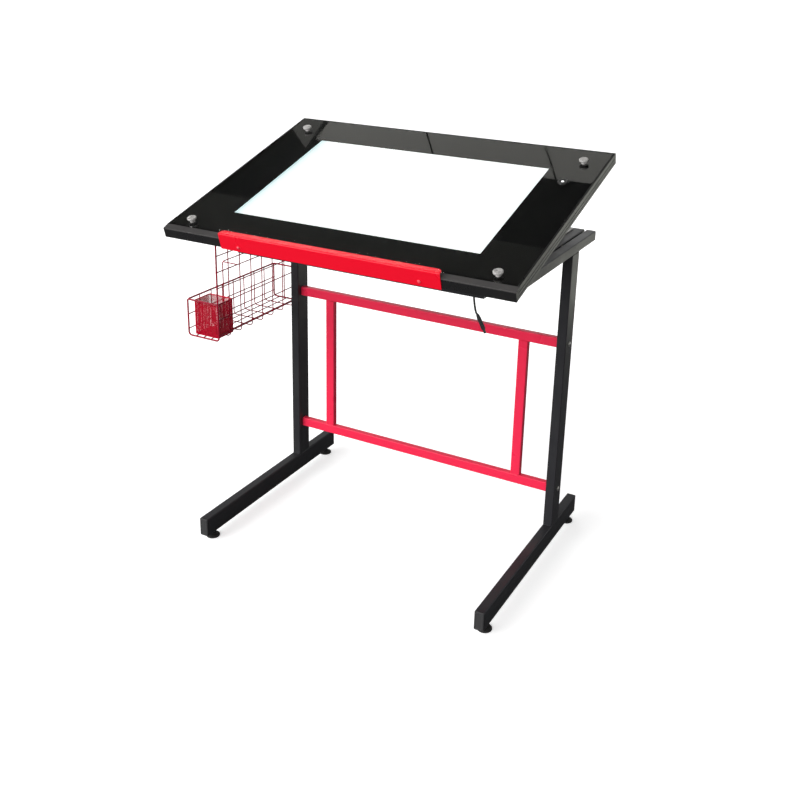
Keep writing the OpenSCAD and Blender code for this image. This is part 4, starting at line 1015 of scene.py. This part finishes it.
# Pen cup: expanded steel mesh, folded into a square cup with round corners, on a solid floor sheet
# and under a rolled wire rim. It stands loose in the front bay of the basket and is coated red.
cup_low, cup_high = Vector((-0.43895, -0.2765, 0.4699)), Vector((-0.37195, -0.2195, 0.5495))
corner_round, sheet_round, rows, strand_thick = 0.004, 0.0044, 26, 0.0014
clear()
bpy.ops.mesh.primitive_plane_add(
    size=1, location=((cup_low.x + cup_high.x) / 2, (cup_low.y + cup_high.y) / 2, cup_low.z))
cup = bpy.context.object
cup.name = "pen_cup_mesh"
cup.scale = (cup_high.x - cup_low.x, cup_high.y - cup_low.y, 1)
settle()
bpy.ops.object.mode_set(mode="EDIT")
bpy.ops.mesh.select_all(action="SELECT")
bpy.ops.mesh.bevel(offset=corner_round, segments=2, affect="VERTICES")
bpy.ops.mesh.select_all(action="SELECT")
bpy.ops.mesh.delete(type="ONLY_FACE")
for axis, cuts in ((0, 19), (1, 16)):
    pick_edges(lambda edge, a, b: abs(a[axis] - b[axis]) > 0.02)
    bpy.ops.mesh.subdivide(number_cuts=cuts)
bpy.ops.mesh.select_all(action="SELECT")
row_high = (cup_high.z - cup_low.z) / rows
for row in range(rows):
    bpy.ops.mesh.extrude_region_move(TRANSFORM_OT_translate={"value": (0, 0, row_high)})

# Each square cell is cut across both ways, and then the cell's own four edges are taken out, which
# leaves slanting strands as in expanded metal.
bpy.ops.mesh.select_mode(type="FACE")
bpy.ops.mesh.select_all(action="SELECT")
bpy.ops.mesh.poke()


def cell_edge(edge, a, b):
    """Whether an edge inside the mesh runs upright or level, as the cells' own edges do."""
    upright = max(abs(a.x - b.x), abs(a.y - b.y)) < 0.00001
    return not edge.is_boundary and (upright or abs(a.z - b.z) < 0.00001)


pick_edges(cell_edge)
bpy.ops.mesh.dissolve_edges(use_verts=False)
bpy.ops.object.mode_set(mode="OBJECT")
strands = cup.modifiers.new("strands", "WIREFRAME")
strands.thickness = strand_thick
strands.use_even_offset = False
strands.use_boundary = True
bpy.ops.object.modifier_apply(modifier="strands")


def cup_sheet(name, proud, low, high, sides_only=False):
    """A round-cornered sheet of the cup's outline between two heights, a little proud of its mesh."""
    sheet = block(name, (cup_low.x - proud, cup_low.y - proud, low),
                  (cup_high.x + proud, cup_high.y + proud, high))
    bpy.ops.object.mode_set(mode="EDIT")
    if sides_only:
        pick(lambda at, way: abs(way.z) > 0.9)
        bpy.ops.mesh.delete(type="ONLY_FACE")
    pick_edges(lambda edge, a, b: abs(a.z - b.z) > 0.0005)
    bpy.ops.mesh.bevel(offset=sheet_round, segments=4, affect="EDGES")
    bpy.ops.object.mode_set(mode="OBJECT")
    return sheet


floor_sheet = cup_sheet("cup_floor", 0.0005, 0.46965, 0.47065)
hem = cup_sheet("cup_hem", 0.0004, 0.5452, 0.5502, sides_only=True)
fold = hem.modifiers.new("fold", "SOLIDIFY")
fold.thickness = 0.0009
fold.offset = -1
bpy.ops.object.modifier_apply(modifier="fold")
x0, x1, y0, y1, z = -438.95, -371.95, -276.5, -219.5, 550.15
seam_x = -405
rolled_way = [(seam_x, y0, z), (x1, y0, z), (x1, y1, z), (x0, y1, z), (x0, y0, z), (seam_x, y0, z)]
rolled = wire("cup_rim", rolled_way, medium, 4.5, 12, closed=True)
pen_cup = join("pen_cup_mesh", [cup, floor_sheet, hem, rolled])
lay_out(pen_cup, desk)
mesh_red = finish("mesh_red", (0.62, 0.006, 0.035), (0.52, 0.005, 0.03), 20, (0.24, 0.36), 900, 0.00002,
                  coat=0.2, specular=0.35)
dress(pen_cup, "cup", "mesh_red", mesh_red, "pen_cup", smooth=45)
